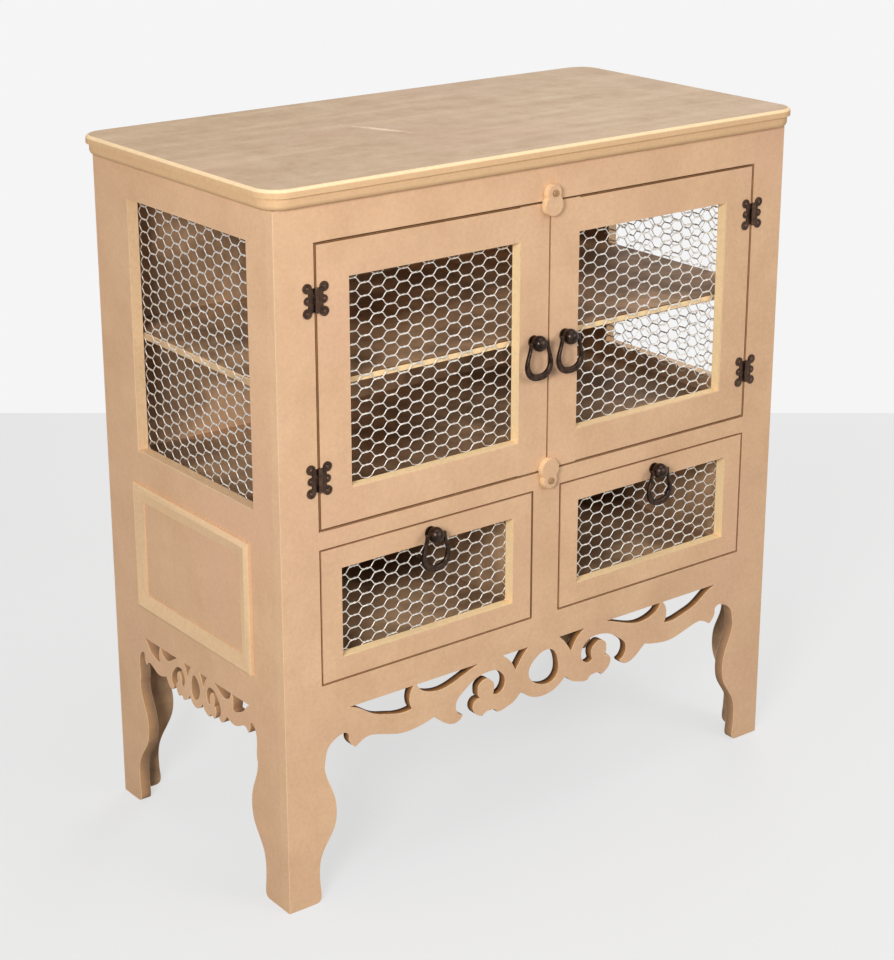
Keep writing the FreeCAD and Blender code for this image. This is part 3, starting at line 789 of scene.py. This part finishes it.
@dataclass
class Joinery:
    """Every board of the cupboard, with softened arrises where it is free and tight lines where joined."""

    nodes: tuple[str, ...]
    arris_mm: float = 1.1
    fret_arris_mm: float = 0.6
    arris_profile: float = 0.5
    free_reach_mm: float = 0.6
    long_edge_mm: float = 5.0
    crease_deg: float = 40.0
    tone_spread: float = 0.016
    tones: int = 7
    tone_stride: int = 5

    as_turned: ClassVar[tuple[str, ...]] = ("top_board", "panel_moulding_left", "panel_moulding_right")
    fretted: ClassVar[tuple[str, ...]] = (
        "front_apron", "front_leg_left", "front_leg_right",
        "side_board_left", "side_board_right", "back_board")

    def __post_init__(self) -> None:
        """Welds every board and makes its search tree."""
        self.welded = {node: merged_copy(node) for node in self.nodes}
        self.trees = {node: BVHTree.FromBMesh(made) for node, made in self.welded.items()}

    def holds(self, node: str, point: Vector) -> bool:
        """Looks whether a point lies inside a board.

        Args:
            node: The board.
            point: The point, in metres.

        Returns:
            True inside it.
        """
        low, high = BOX_OF[node]
        if any(point[axis] < low[axis] or point[axis] > high[axis] for axis in range(3)):
            return False
        nearest, normal, _, _ = self.trees[node].find_nearest(point)
        return (point - nearest).dot(normal) < 0

    def is_joined(self, node: str, edge: BMEdge) -> bool:
        """Looks whether another board lies flush against an edge.

        Args:
            node: The board that the edge belongs to.
            edge: One of its edges.

        Returns:
            True where a neighbour closes the arris.
        """
        middle = (edge.verts[0].co + edge.verts[1].co) / 2
        first, second = (face.normal for face in edge.link_faces)
        reach = mm(self.free_reach_mm)
        probes = (middle + reach * (first - second), middle + reach * (second - first))
        return any(self.holds(other, probe) for other in self.nodes if other != node for probe in probes)

    def arris_edges(self, node: str, axis: int) -> list[BMEdge]:
        """Finds the edges between a board's broad faces and its sawn edges.

        Args:
            node: The board.
            axis: Its thin axis.

        Returns:
            The sharp outer edges along both broad faces.
        """
        found = []
        for edge in self.welded[node].edges:
            if len(edge.link_faces) == 2 and edge.is_convex:
                across = sorted(abs(face.normal[axis]) for face in edge.link_faces)
                if across[0] < WALL and across[1] > BROAD:
                    found.append(edge)
        return found

    def split_at_neighbours(self, node: str, thin: int) -> None:
        """Splits long edges where a neighbouring board starts or ends.

        Args:
            node: The board.
            thin: Its thin axis.
        """
        low, high = BOX_OF[node]
        near = mm(self.free_reach_mm)
        places = (set(), set(), set())
        for other in self.nodes:
            other_low, other_high = BOX_OF[other]
            apart = any(other_low[axis] > high[axis] + near or other_high[axis] < low[axis] - near
                        for axis in range(3))
            if other != node and not apart:
                for axis in range(3):
                    places[axis].update((round(other_low[axis], 5), round(other_high[axis], 5)))
        for axis in range(3):
            for place in sorted(places[axis]):
                self.split_edges(node, thin, axis, place)

    def split_edges(self, node: str, thin: int, axis: int, place: float) -> None:
        """Splits the long arris edges that cross one plane.

        Args:
            node: The board.
            thin: Its thin axis.
            axis: The plane's axis.
            place: Where the plane lies on it, in metres.
        """
        for edge in self.arris_edges(node, thin):
            start, end = edge.verts
            run = end.co[axis] - start.co[axis]
            if abs(run) < mm(self.long_edge_mm):
                continue
            share = (place - start.co[axis]) / run
            margin = mm(self.free_reach_mm) / abs(run)
            if margin < share < 1 - margin:
                bmesh.utils.edge_split(edge, start, share)

    def ease(self, node: str, axis: int) -> list[BMFace]:
        """Rounds the free arrises of one board.

        Args:
            node: The board.
            axis: Its thin axis.

        Returns:
            The faces of the rounded arrises.
        """
        self.split_at_neighbours(node, axis)
        free = [edge for edge in self.arris_edges(node, axis) if not self.is_joined(node, edge)]
        if not free:
            return []
        fretted = node in self.fretted
        width = self.fret_arris_mm if fretted else self.arris_mm
        return bmesh.ops.bevel(
            self.welded[node], geom=free, offset=mm(width), offset_type="OFFSET", segments=EASE_ROWS,
            profile=self.arris_profile, affect="EDGES", clamp_overlap=not fretted)["faces"]

    def build(self, finishes: dict[str, Material]) -> None:
        """Finishes every board and puts it in the scene.

        Args:
            finishes: The material for each board.
        """
        for index, node in enumerate(self.nodes):
            axis = thin_axis(node)
            eased = [] if node in self.as_turned else self.ease(node, axis)
            made = self.welded[node]
            made.faces.index_update()
            rounded = {face.index for face in eased if face.is_valid}
            marks = [FaceMarks.of(node, face, axis, face.index in rounded) for face in made.faces]
            mesh = shaded(made, node + "_dressed", self.crease_deg)
            for name in ("inner", "sawn", "scorched", "arris"):
                set_float(mesh, name, [getattr(marked, name) for marked in marks], "FACE")
            # Boards take turns in a fixed run of slightly darker and lighter tones
            half = (self.tones - 1) / 2
            tone = 1 + self.tone_spread * (index * self.tone_stride % self.tones - half) / half
            # Eased edges along the gaps carry a darker tone of painted shade
            set_float(mesh, "tone", [tone * marked.tone for marked in marks], "FACE")
            # Depth through the board sets how far painted shade darkens the saw burn
            set_float(mesh, "depth", [board_depth(node, vertex.co) for vertex in mesh.vertices])
            mesh.materials.clear()
            mesh.materials.append(finishes[node])
            publish(node + "_dressed", mesh, BODY_OF[node], [node])


# Geometry trees


def new_tree(name: str, sizes: Iterable[str], counts: Iterable[str]) -> tuple[GeometryNodeTree, Sockets]:
    """Makes a geometry tree with named inputs, the last of which is its material.

    Args:
        name: The tree's name.
        sizes: Names of inputs that are lengths.
        counts: Names of inputs that are whole numbers.

    Returns:
        The tree, and its inputs' sockets by name.
    """
    tree = bpy.data.node_groups.new(name, "GeometryNodeTree")
    tree.interface.new_socket("Geometry", in_out="OUTPUT", socket_type="NodeSocketGeometry")
    labels = [("Geometry", "Geometry"), *((label, "Float") for label in sizes),
              *((label, "Int") for label in counts), ("Material", "Material")]
    for label, kind in labels:
        tree.interface.new_socket(label, in_out="INPUT", socket_type="NodeSocket" + kind)
    sockets = add_node(tree, "NodeGroupInput").outputs
    return tree, {socket.name: socket for socket in sockets}


def end_tree(tree: GeometryNodeTree, shape: Node, material: NodeSocket) -> None:
    """Ends a tree in real, smooth geometry with its material.

    Args:
        tree: The geometry tree.
        shape: The node that gives the shape.
        material: The material's input.
    """
    add = partial(add_node, tree)
    real = add("GeometryNodeRealizeInstances", {"Geometry": shape})
    smooth = add("GeometryNodeSetShadeSmooth", {"Geometry": real})
    dressed = add("GeometryNodeSetMaterial", {"Geometry": smooth, "Material": material})
    add("NodeGroupOutput", {"Geometry": dressed})


def run_tree(tree: GeometryNodeTree, seed: Mesh, name: str, values: dict[str, object]) -> Mesh:
    """Runs a geometry tree with its inputs set, and keeps the plain mesh that it makes.

    Args:
        tree: The geometry tree.
        seed: The mesh that it starts from.
        name: The new mesh's name.
        values: Input values by the input's name.

    Returns:
        The mesh, with no modifier left.
    """
    host = bpy.data.objects.new(name + "_host", seed)
    modifier = host.modifiers.new("shape", "NODES")
    modifier.node_group = tree
    for socket in tree.interface.items_tree:
        if socket.item_type == "SOCKET" and socket.in_out == "INPUT" and socket.name in values:
            modifier[socket.identifier] = values[socket.name]
    return settled(host, name)


class Facing(Enum):
    """The way a net faces, by the axis that runs across its window."""

    FRONT = 0
    SIDE = 1


@dataclass(frozen=True)
class Window:
    """One netted window: the net's node, which way it faces, and the net's lap round the opening."""

    node: str
    facing: Facing
    lap: float = 8.0

    def size(self) -> tuple[float, float]:
        """Measures the opening.

        Returns:
            Its width and height, in millimetres.
        """
        low, high = BOX_OF[self.node]
        across = self.facing.value
        return (high[across] - low[across]) * 1000 - 2 * self.lap, (high.z - low.z) * 1000 - 2 * self.lap

    def fit(self, mesh: Mesh, depth: float) -> None:
        """Moves a mesh from the drawing plane, which faces -Y, to its place behind the window.

        Args:
            mesh: The mesh, drawn round the origin.
            depth: How far its middle lies inward of the net's outer face, in millimetres.
        """
        low, high = BOX_OF[self.node]
        middle = (low + high) / 2
        if self.facing is Facing.FRONT:
            middle.y = low.y + mm(depth)
            turn = Matrix.Identity(4)
        else:
            middle.x = high.x - mm(depth) if middle.x > 0 else low.x + mm(depth)
            turn = Matrix.Rotation(math.pi / 2, 4, "Z")
        mesh.transform(Matrix.Translation(middle) @ turn)


@dataclass
class Netting:
    """Hexagonal wire netting, twisted level, stapled behind each window."""

    windows: tuple[Window, ...]
    wire_t: float = 1.4
    column: float = 18.6
    row: float = 15.9
    twist: float = 12.0
    step: float = 1.1
    facets: int = 6

    # Each step gives its result's name, its operation and its terms: numbers, inputs or earlier results.
    # The wire is high at every second column and low between, and goes once round its partner in a twist.
    steps: ClassVar[tuple[tuple, ...]] = (
        ("far end", "MULTIPLY", "Width", 0.5),
        ("near end", "MULTIPLY", "far end", -1.0),
        ("radius", "MULTIPLY", "Wire", 0.5),
        ("run", "SUBTRACT", "X", "High Column"),
        ("columns", "DIVIDE", "run", "Column"),
        ("away", "PINGPONG", "columns", 1.0),
        ("half twist", "MULTIPLY", "Twist", 0.5),
        ("twist share", "DIVIDE", "half twist", "Column"),
        ("open share", "SUBTRACT", 1.0, "twist share"),
        ("height", "SMOOTHSTEP", "away", "twist share", "open share", 1.0, -1.0),
        ("off column", "WRAP", "columns", 0.5, -0.5),
        ("in twists", "DIVIDE", "off column", "twist share"),
        ("not before", "MAXIMUM", -1.0, "in twists"),
        ("along", "MINIMUM", 1.0, "not before"),
        ("angle", "MULTIPLY", "along", math.pi),
        ("sine", "SINE", "angle"),
        ("cosine", "COSINE", "angle"),
        ("reach", "MULTIPLY", "height", "radius"),
        ("inward", "MULTIPLY", "reach", "sine"),
        ("upward", "MULTIPLY", "reach", "cosine"),
        ("quarter row", "MULTIPLY", "Row", 0.25),
        ("bend", "MULTIPLY", "height", "quarter row"),
        ("lift", "ADD", "bend", "upward"))

    def wires(self, add: Adder, given: Sockets, phase: str) -> Node:
        """Draws every second wire of the netting: one bent and twisted wire, repeated up the net.

        Args:
            add: Adds a node to the geometry tree.
            given: The tree's inputs.
            phase: Even or Odd, which the names of the wires' own inputs start with.

        Returns:
            The instances.
        """
        place = add("ShaderNodeSeparateXYZ", {0: add("GeometryNodeInputPosition")})
        known = {**given, "X": place.outputs["X"], "High Column": given[phase + " Column"]}
        for name, operation, *terms in self.steps:
            inputs = {at: known.get(term, term) for at, term in enumerate(terms)}
            if operation == "SMOOTHSTEP":
                known[name] = add("ShaderNodeMapRange", inputs, interpolation_type=operation)
            else:
                known[name] = add("ShaderNodeMath", inputs, operation=operation)
        near, far = (add("ShaderNodeCombineXYZ", {"X": known[end]}) for end in ("near end", "far end"))
        line = add("GeometryNodeCurvePrimitiveLine", {"Start": near, "End": far})
        beads = add("GeometryNodeResampleCurve", {"Curve": line, "Length": known["Step"]}, mode="LENGTH")
        bent = add("ShaderNodeCombineXYZ", {"X": known["X"], "Y": known["inward"], "Z": known["lift"]})
        moved = add("GeometryNodeSetPosition", {"Geometry": beads, "Position": bent})
        section = add("GeometryNodeCurvePrimitiveCircle", {
            "Resolution": self.facets, "Radius": known["radius"]})
        wire = add("GeometryNodeCurveToMesh", {"Curve": moved, "Profile Curve": section, "Fill Caps": True})
        lowest, rise = (add("ShaderNodeCombineXYZ", {"Z": known[name]}) for name in (phase + " Start", "Row"))
        rows = add("GeometryNodeMeshLine", {
            "Count": known[phase + " Count"], "Start Location": lowest, "Offset": rise})
        return add("GeometryNodeInstanceOnPoints", {"Points": rows, "Instance": wire})

    def tree(self) -> GeometryNodeTree:
        """Builds the netting's geometry tree.

        Returns:
            The tree: wires that rise and fall between columns, each pair twisted once where they meet.
        """
        tree, given = new_tree("hexagon_netting", (
            "Width", "Column", "Row", "Twist", "Wire", "Step", "Even Column", "Odd Column",
            "Even Start", "Odd Start"), ("Even Count", "Odd Count"))
        add = partial(add_node, tree)
        both = add("GeometryNodeJoinGeometry", {
            "Geometry": [self.wires(add, given, phase) for phase in ("Even", "Odd")]})
        end_tree(tree, both, given["Material"])
        return tree

    def build(self, metal: Material) -> None:
        """Makes each net at its window.

        Args:
            metal: The wire's finish.
        """
        tree = self.tree()
        for window in self.windows:
            node = window.node
            width, height = window.size()
            # Both wires of a pair lie a quarter row from the twist that joins them
            columns = math.ceil(width / self.column - 0.5)
            even_column = -(columns - 1) / 2 * self.column
            twist_at = int(height / self.row) % 2 * self.row / 2
            tall = height / 2 + window.lap - self.row / 4 - self.wire_t
            phases = {"Even Column": mm(even_column), "Odd Column": mm(even_column + self.column)}
            for phase, base in (("Even", twist_at - self.row / 4), ("Odd", twist_at + self.row / 4)):
                below = math.floor((base + tall) / self.row)
                above = math.floor((tall - base) / self.row)
                phases[phase + " Start"] = mm(base - below * self.row)
                phases[phase + " Count"] = below + above + 1
            mesh = run_tree(tree, bpy.data.meshes.new(node + "_seed"), node + "_wire", {
                "Width": mm(width + 2 * window.lap), "Column": mm(self.column), "Row": mm(self.row),
                "Twist": mm(self.twist), "Wire": mm(self.wire_t), "Step": mm(self.step),
                "Material": metal, **phases})
            window.fit(mesh, self.wire_t)
            publish(node + "_wire", mesh, BODY_OF[node], [node])


@dataclass
class Staples:
    """Wire staples that hold each net's upper and lower lap to the back of its frame."""

    windows: tuple[Window, ...]
    spacing: float = 41.0
    crown: float = 9.0
    wire_r: float = 0.45
    facets: int = 8
    out: float = 4.5
    net_t: float = 2.0
    lean: float = 0.25
    seed: int = 7

    def tree(self) -> GeometryNodeTree:
        """Builds the tree: a staple at even steps along each edge of the host.

        Returns:
            The geometry tree.
        """
        tree, given = new_tree("staples_along_edges", ("Spacing", "Crown", "Wire Radius"), ("Seed",))
        add = partial(add_node, tree)
        runs = add("GeometryNodeMeshToCurve", {"Mesh": given["Geometry"]})
        steps = add("ShaderNodeMath", {
            0: add("GeometryNodeSplineLength"), 1: given["Spacing"]}, operation="DIVIDE")
        count = add("ShaderNodeMath", {0: steps}, operation="ROUND")
        spots = add("GeometryNodeResampleCurve", {"Curve": runs, "Count": count}, mode="COUNT")
        tips = []
        for share in (-0.5, 0.5):
            reach = add("ShaderNodeMath", {0: given["Crown"], 1: share}, operation="MULTIPLY")
            tips.append(add("ShaderNodeCombineXYZ", {"X": reach}))
        bar = add("GeometryNodeCurvePrimitiveLine", {"Start": tips[0], "End": tips[1]})
        section = add("GeometryNodeCurvePrimitiveCircle", {
            "Resolution": self.facets, "Radius": given["Wire Radius"]})
        staple = add("GeometryNodeCurveToMesh", {"Curve": bar, "Profile Curve": section, "Fill Caps": True})
        lean = add("FunctionNodeRandomValue", {
            2: -self.lean, 3: self.lean, "Seed": given["Seed"]}, data_type="FLOAT")
        turn = add("ShaderNodeCombineXYZ", {"Y": lean})
        placed = add("GeometryNodeInstanceOnPoints", {"Points": spots, "Instance": staple, "Rotation": turn})
        end_tree(tree, placed, given["Material"])
        return tree

    def build(self, metal: Material) -> None:
        """Staples every net along its upper and lower lap.

        Args:
            metal: The staples' finish.
        """
        tree = self.tree()
        for window in self.windows:
            node = window.node
            width, height = window.size()
            x, z = mm(width / 2 - self.crown), mm(height / 2 + self.out)
            seed = bpy.data.meshes.new(node + "_seed")
            seed.from_pydata([(-x, 0, -z), (x, 0, -z), (-x, 0, z), (x, 0, z)], [(0, 1), (2, 3)], [])
            mesh = run_tree(tree, seed, node + "_staples", {
                "Spacing": mm(self.spacing), "Crown": mm(self.crown), "Wire Radius": mm(self.wire_r),
                "Seed": self.seed, "Material": metal})
            window.fit(mesh, self.net_t + self.wire_r / 2)
            publish(node + "_staples", mesh, BODY_OF[node])


# Fittings


@dataclass
class Castings:
    """Hinges, pulls and the turn buttons' screws: the CAD fittings with eased edges and rubbed high spots."""

    nodes: tuple[str, ...]
    ease_mm: float = 0.35
    ease_deg: float = 35.0
    ease_profile: float = 0.6
    crease_deg: float = 50.0
    full_rub: float = 0.45

    def rub(self, mesh: Mesh) -> None:
        """Marks how far each point stands out of the surface round it.

        Args:
            mesh: The fitting's mesh.
        """
        made = bmesh.new()
        made.from_mesh(mesh)
        values = []
        for vert in made.verts:
            rises = [(vert.co - edge.other_vert(vert).co).normalized().dot(vert.normal)
                     for edge in vert.link_edges]
            values.append(max(0.0, min(1.0, sum(rises) / max(1, len(rises)) / self.full_rub)))
        made.free()
        set_float(mesh, "rubbed", values)

    def build(self, finishes: dict[str, Material]) -> None:
        """Finishes every fitting and puts it in the scene.

        Args:
            finishes: The metal of each fitting.
        """
        for node in self.nodes:
            made = merged_copy(node)
            sharp = [edge for edge in made.edges if len(edge.link_faces) == 2 and edge.is_convex
                     and edge.calc_face_angle(0.0) > math.radians(self.ease_deg)]
            bmesh.ops.bevel(
                made, geom=sharp, offset=mm(self.ease_mm), offset_type="OFFSET", segments=EASE_ROWS,
                profile=self.ease_profile, affect="EDGES", clamp_overlap=True)
            mesh = shaded(made, node + "_cast", self.crease_deg)
            self.rub(mesh)
            mesh.materials.clear()
            mesh.materials.append(finishes[node])
            publish(node + "_cast", mesh, BODY_OF[node], [node])


@dataclass
class Screws:
    """Domed slotted screws, one in each lobe of every hinge leaf."""

    hinge_x: float = 345.0
    face_y: float = -196.0
    leaf_t: float = 1.5
    lobe_in: float = 11.5
    lobe_up: float = 14.5
    head_r: float = 2.5
    head_t: float = 0.9
    crown_share: float = 0.62
    cutter_share: float = 3.0
    slot_w: float = 0.7
    facets: int = 20
    rubbed: float = 0.35
    seed: int = 3
    heights: tuple[float, float] = (551.0, 766.0)

    def tree(self) -> GeometryNodeTree:
        """Builds the tree: one slotted head at every vertex of the host, its slot turned at random.

        Returns:
            The geometry tree.
        """
        tree, given = new_tree("slotted_screw_heads", ("Head Radius", "Head Height", "Slot Width"), ("Seed",))
        add = partial(add_node, tree)
        radius, height = given["Head Radius"], given["Head Height"]
        crown = add("ShaderNodeMath", {0: radius, 1: self.crown_share}, operation="MULTIPLY")
        head = add("GeometryNodeMeshCone", {
            "Vertices": self.facets, "Radius Top": crown, "Radius Bottom": radius, "Depth": height})
        # The slot's cutter is longer than the head is wide
        reach = add("ShaderNodeMath", {0: radius, 1: self.cutter_share}, operation="MULTIPLY")
        slot = add("ShaderNodeCombineXYZ", {"X": reach, "Y": given["Slot Width"], "Z": height})
        cutter = add("GeometryNodeMeshCube", {"Size": slot})
        raised = add("GeometryNodeTransform", {
            "Geometry": cutter, "Translation": add("ShaderNodeCombineXYZ", {"Z": height})})
        slotted = add("GeometryNodeMeshBoolean", {"Mesh 1": head, "Mesh 2": raised}, operation="DIFFERENCE")
        spin = add("FunctionNodeRandomValue", {2: 0.0, 3: math.pi, "Seed": given["Seed"]}, data_type="FLOAT")
        turn = add("ShaderNodeCombineXYZ", {"Z": spin})
        laid = add("FunctionNodeRotateEuler", {
            0: turn, 1: (math.pi / 2, 0.0, 0.0)}, rotation_type="EULER", space="OBJECT")
        placed = add("GeometryNodeInstanceOnPoints", {
            "Points": given["Geometry"], "Instance": slotted, "Rotation": laid})
        end_tree(tree, placed, given["Material"])
        return tree

    def places(self, side: int, outward: int) -> list[tuple[float, float, float]]:
        """Finds the screw heads of one side's two frame leaves or door leaves.

        Args:
            side: -1 for the left hinges and 1 for the right ones.
            outward: -1 for leaves to the left of the pins and 1 for leaves to their right.

        Returns:
            The heads' centres, in metres.
        """
        x = mm(side * self.hinge_x + outward * self.lobe_in)
        y = mm(self.face_y - self.leaf_t)
        return [(x, y, mm(height + up)) for height in self.heights
                for up in (-self.lobe_up, 0.0, self.lobe_up)]

    def build(self, metal: Material) -> None:
        """Puts the screws in the frame's leaves and in each door's leaves.

        Args:
            metal: The screws' finish.
        """
        tree = self.tree()
        groups = {"frame_hinge_screws": ("root", self.places(-1, -1) + self.places(1, 1)),
                  "left_door_hinge_screws": ("left_door", self.places(-1, 1)),
                  "right_door_hinge_screws": ("right_door", self.places(1, -1))}
        for name, (body, spots) in groups.items():
            seed = bpy.data.meshes.new(name + "_seed")
            seed.from_pydata(spots, [], [])
            mesh = run_tree(tree, seed, name, {
                "Head Radius": mm(self.head_r), "Head Height": mm(self.head_t),
                "Slot Width": mm(self.slot_w), "Seed": self.seed, "Material": metal})
            set_float(mesh, "rubbed", [self.rubbed] * len(mesh.vertices))
            publish(name, mesh, body)


# Studio


@dataclass(frozen=True)
class Lamp:
    """One soft square lamp: its place, its side and its power in watts."""

    name: str
    place: tuple[float, float, float]
    side: float
    watts: float

    def build(self, aim: Vector) -> None:
        """Hangs the lamp.

        Args:
            aim: The point that it faces, in metres.
        """
        data = bpy.data.lights.new(self.name, "AREA")
        data.shape = "SQUARE"
        data.size = mm(self.side)
        data.energy = self.watts
        lamp = bpy.data.objects.new(self.name, data)
        bpy.context.scene.collection.objects.link(lamp)
        place = Vector([mm(value) for value in self.place])
        turn = (place - aim).to_track_quat("Z", "Y").to_matrix().to_4x4()
        lamp.matrix_world = Matrix.Translation(place) @ turn


@dataclass
class Studio:
    """Floor, lights and camera of the photograph's view."""

    place: tuple[float, float, float] = (-1657.0, -2128.5, 1412.4)
    yaw_deg: float = 37.794
    pitch_deg: float = 18.155
    focal_px: float = 2156.0
    image_h: int = 960
    centre_row: float = 400.0
    sensor: float = 36.0
    clip: tuple[float, float] = (100.0, 60000.0)
    floor_back: float = 4221.0
    floor_half: float = 9000.0
    floor_front: float = 6000.0
    wall_tone: str = "#F5F5F5"
    room_tone: str = "#FFFFFF"
    room_strength: float = 0.26
    aim_z: float = 450.0
    lamps: tuple[Lamp, ...] = (
        Lamp("key_lamp", (1300.0, -3300.0, 1900.0), 1600.0, 39.0),
        Lamp("side_lamp", (-2450.0, -1900.0, 1700.0), 800.0, 76.0),
        Lamp("top_lamp", (200.0, -300.0, 3200.0), 2000.0, 29.0),
        Lamp("rear_lamp", (2900.0, 2300.0, 1500.0), 1800.0, 60.0))

    def __post_init__(self) -> None:
        """Works out the level directions of the view."""
        yaw = math.radians(self.yaw_deg)
        self.ahead = Vector((math.sin(yaw), math.cos(yaw), 0.0))
        self.right = Vector((math.cos(yaw), -math.sin(yaw), 0.0))

    def camera(self) -> None:
        """Sets the camera at the photograph's angle."""
        data = bpy.data.cameras.new("photo_camera")
        data.sensor_width = self.sensor
        data.lens = self.focal_px * self.sensor / self.image_h
        data.shift_y = (self.centre_row - self.image_h / 2) / self.image_h
        data.clip_start, data.clip_end = (mm(distance) for distance in self.clip)
        pitch = math.radians(self.pitch_deg)
        ahead = self.ahead * math.cos(pitch) - Vector((0.0, 0.0, math.sin(pitch)))
        eye = bpy.data.objects.new("photo_camera", data)
        bpy.context.scene.collection.objects.link(eye)
        turn = Matrix((self.right, self.right.cross(ahead), -ahead)).transposed().to_4x4()
        eye.matrix_world = Matrix.Translation(Vector([mm(value) for value in self.place])) @ turn
        bpy.context.scene.camera = eye

    def floor(self) -> None:
        """Lays the floor, which ends where the photograph's floor meets its pale backdrop."""
        base = Vector((mm(self.place[0]), mm(self.place[1]), 0.0))
        far = base + self.ahead * mm(self.floor_back)
        near = base - self.ahead * mm(self.floor_front)
        side = self.right * mm(self.floor_half)
        mesh = bpy.data.meshes.new("studio_floor")
        mesh.from_pydata([near - side, near + side, far + side, far - side], [], [(0, 1, 2, 3)])
        mesh.materials.append(PlainPaper().build())
        ground = bpy.data.objects.new("studio_floor", mesh)
        bpy.context.scene.collection.objects.link(ground)

    def world(self) -> None:
        """Lights the room evenly and shows the pale backdrop to the camera."""
        world = bpy.data.worlds.new("studio_world")
        bpy.context.scene.world = world
        world.use_nodes = True
        tree = world.node_tree
        tree.nodes.clear()
        add = partial(add_node, tree)
        path = add("ShaderNodeLightPath")
        seen = path.outputs["Is Camera Ray"]
        for ray in ("Is Glossy Ray", "Is Transmission Ray"):
            seen = add("ShaderNodeMath", {0: seen, 1: path.outputs[ray]}, operation="MAXIMUM")
        room = add("ShaderNodeBackground", {"Color": colour(self.room_tone), "Strength": self.room_strength})
        wall = add("ShaderNodeBackground", {"Color": colour(self.wall_tone), "Strength": 1.0})
        both = add("ShaderNodeMixShader", {0: seen, 1: room, 2: wall})
        add("ShaderNodeOutputWorld", {"Surface": both})

    def build(self) -> None:
        """Sets up the whole studio."""
        bpy.context.scene.view_settings.view_transform = "Standard"
        self.camera()
        self.floor()
        self.world()
        for lamp in self.lamps:
            lamp.build(Vector((0.0, 0.0, mm(self.aim_z))))


def main() -> None:
    """Builds the cupboard's pieces in order."""
    logging.basicConfig(level=logging.INFO, format="%(name)s: %(message)s")
    board = RawBoard().build()
    top = GreyerTop().build()
    wire = GalvanisedWire().build()
    bronze = BlackenedBronze().build()
    brass = DullBrass().build()
    boards = nodes_in("raw_board", "inside_board", "drawer_box", "button_wood")
    fittings = nodes_in("dark_hardware")
    windows = tuple(Window(node, Facing.SIDE if node.startswith("side") else Facing.FRONT)
                    for node in nodes_in("netting"))
    Joinery(boards).build({node: top if node == "top_board" else board for node in boards})
    Netting(windows).build(wire)
    Staples(windows).build(wire)
    Castings(fittings).build({node: brass if node == "button_screws" else bronze for node in fittings})
    Screws().build(bronze)
    Studio().build()


if __name__ == "__main__":
    main()
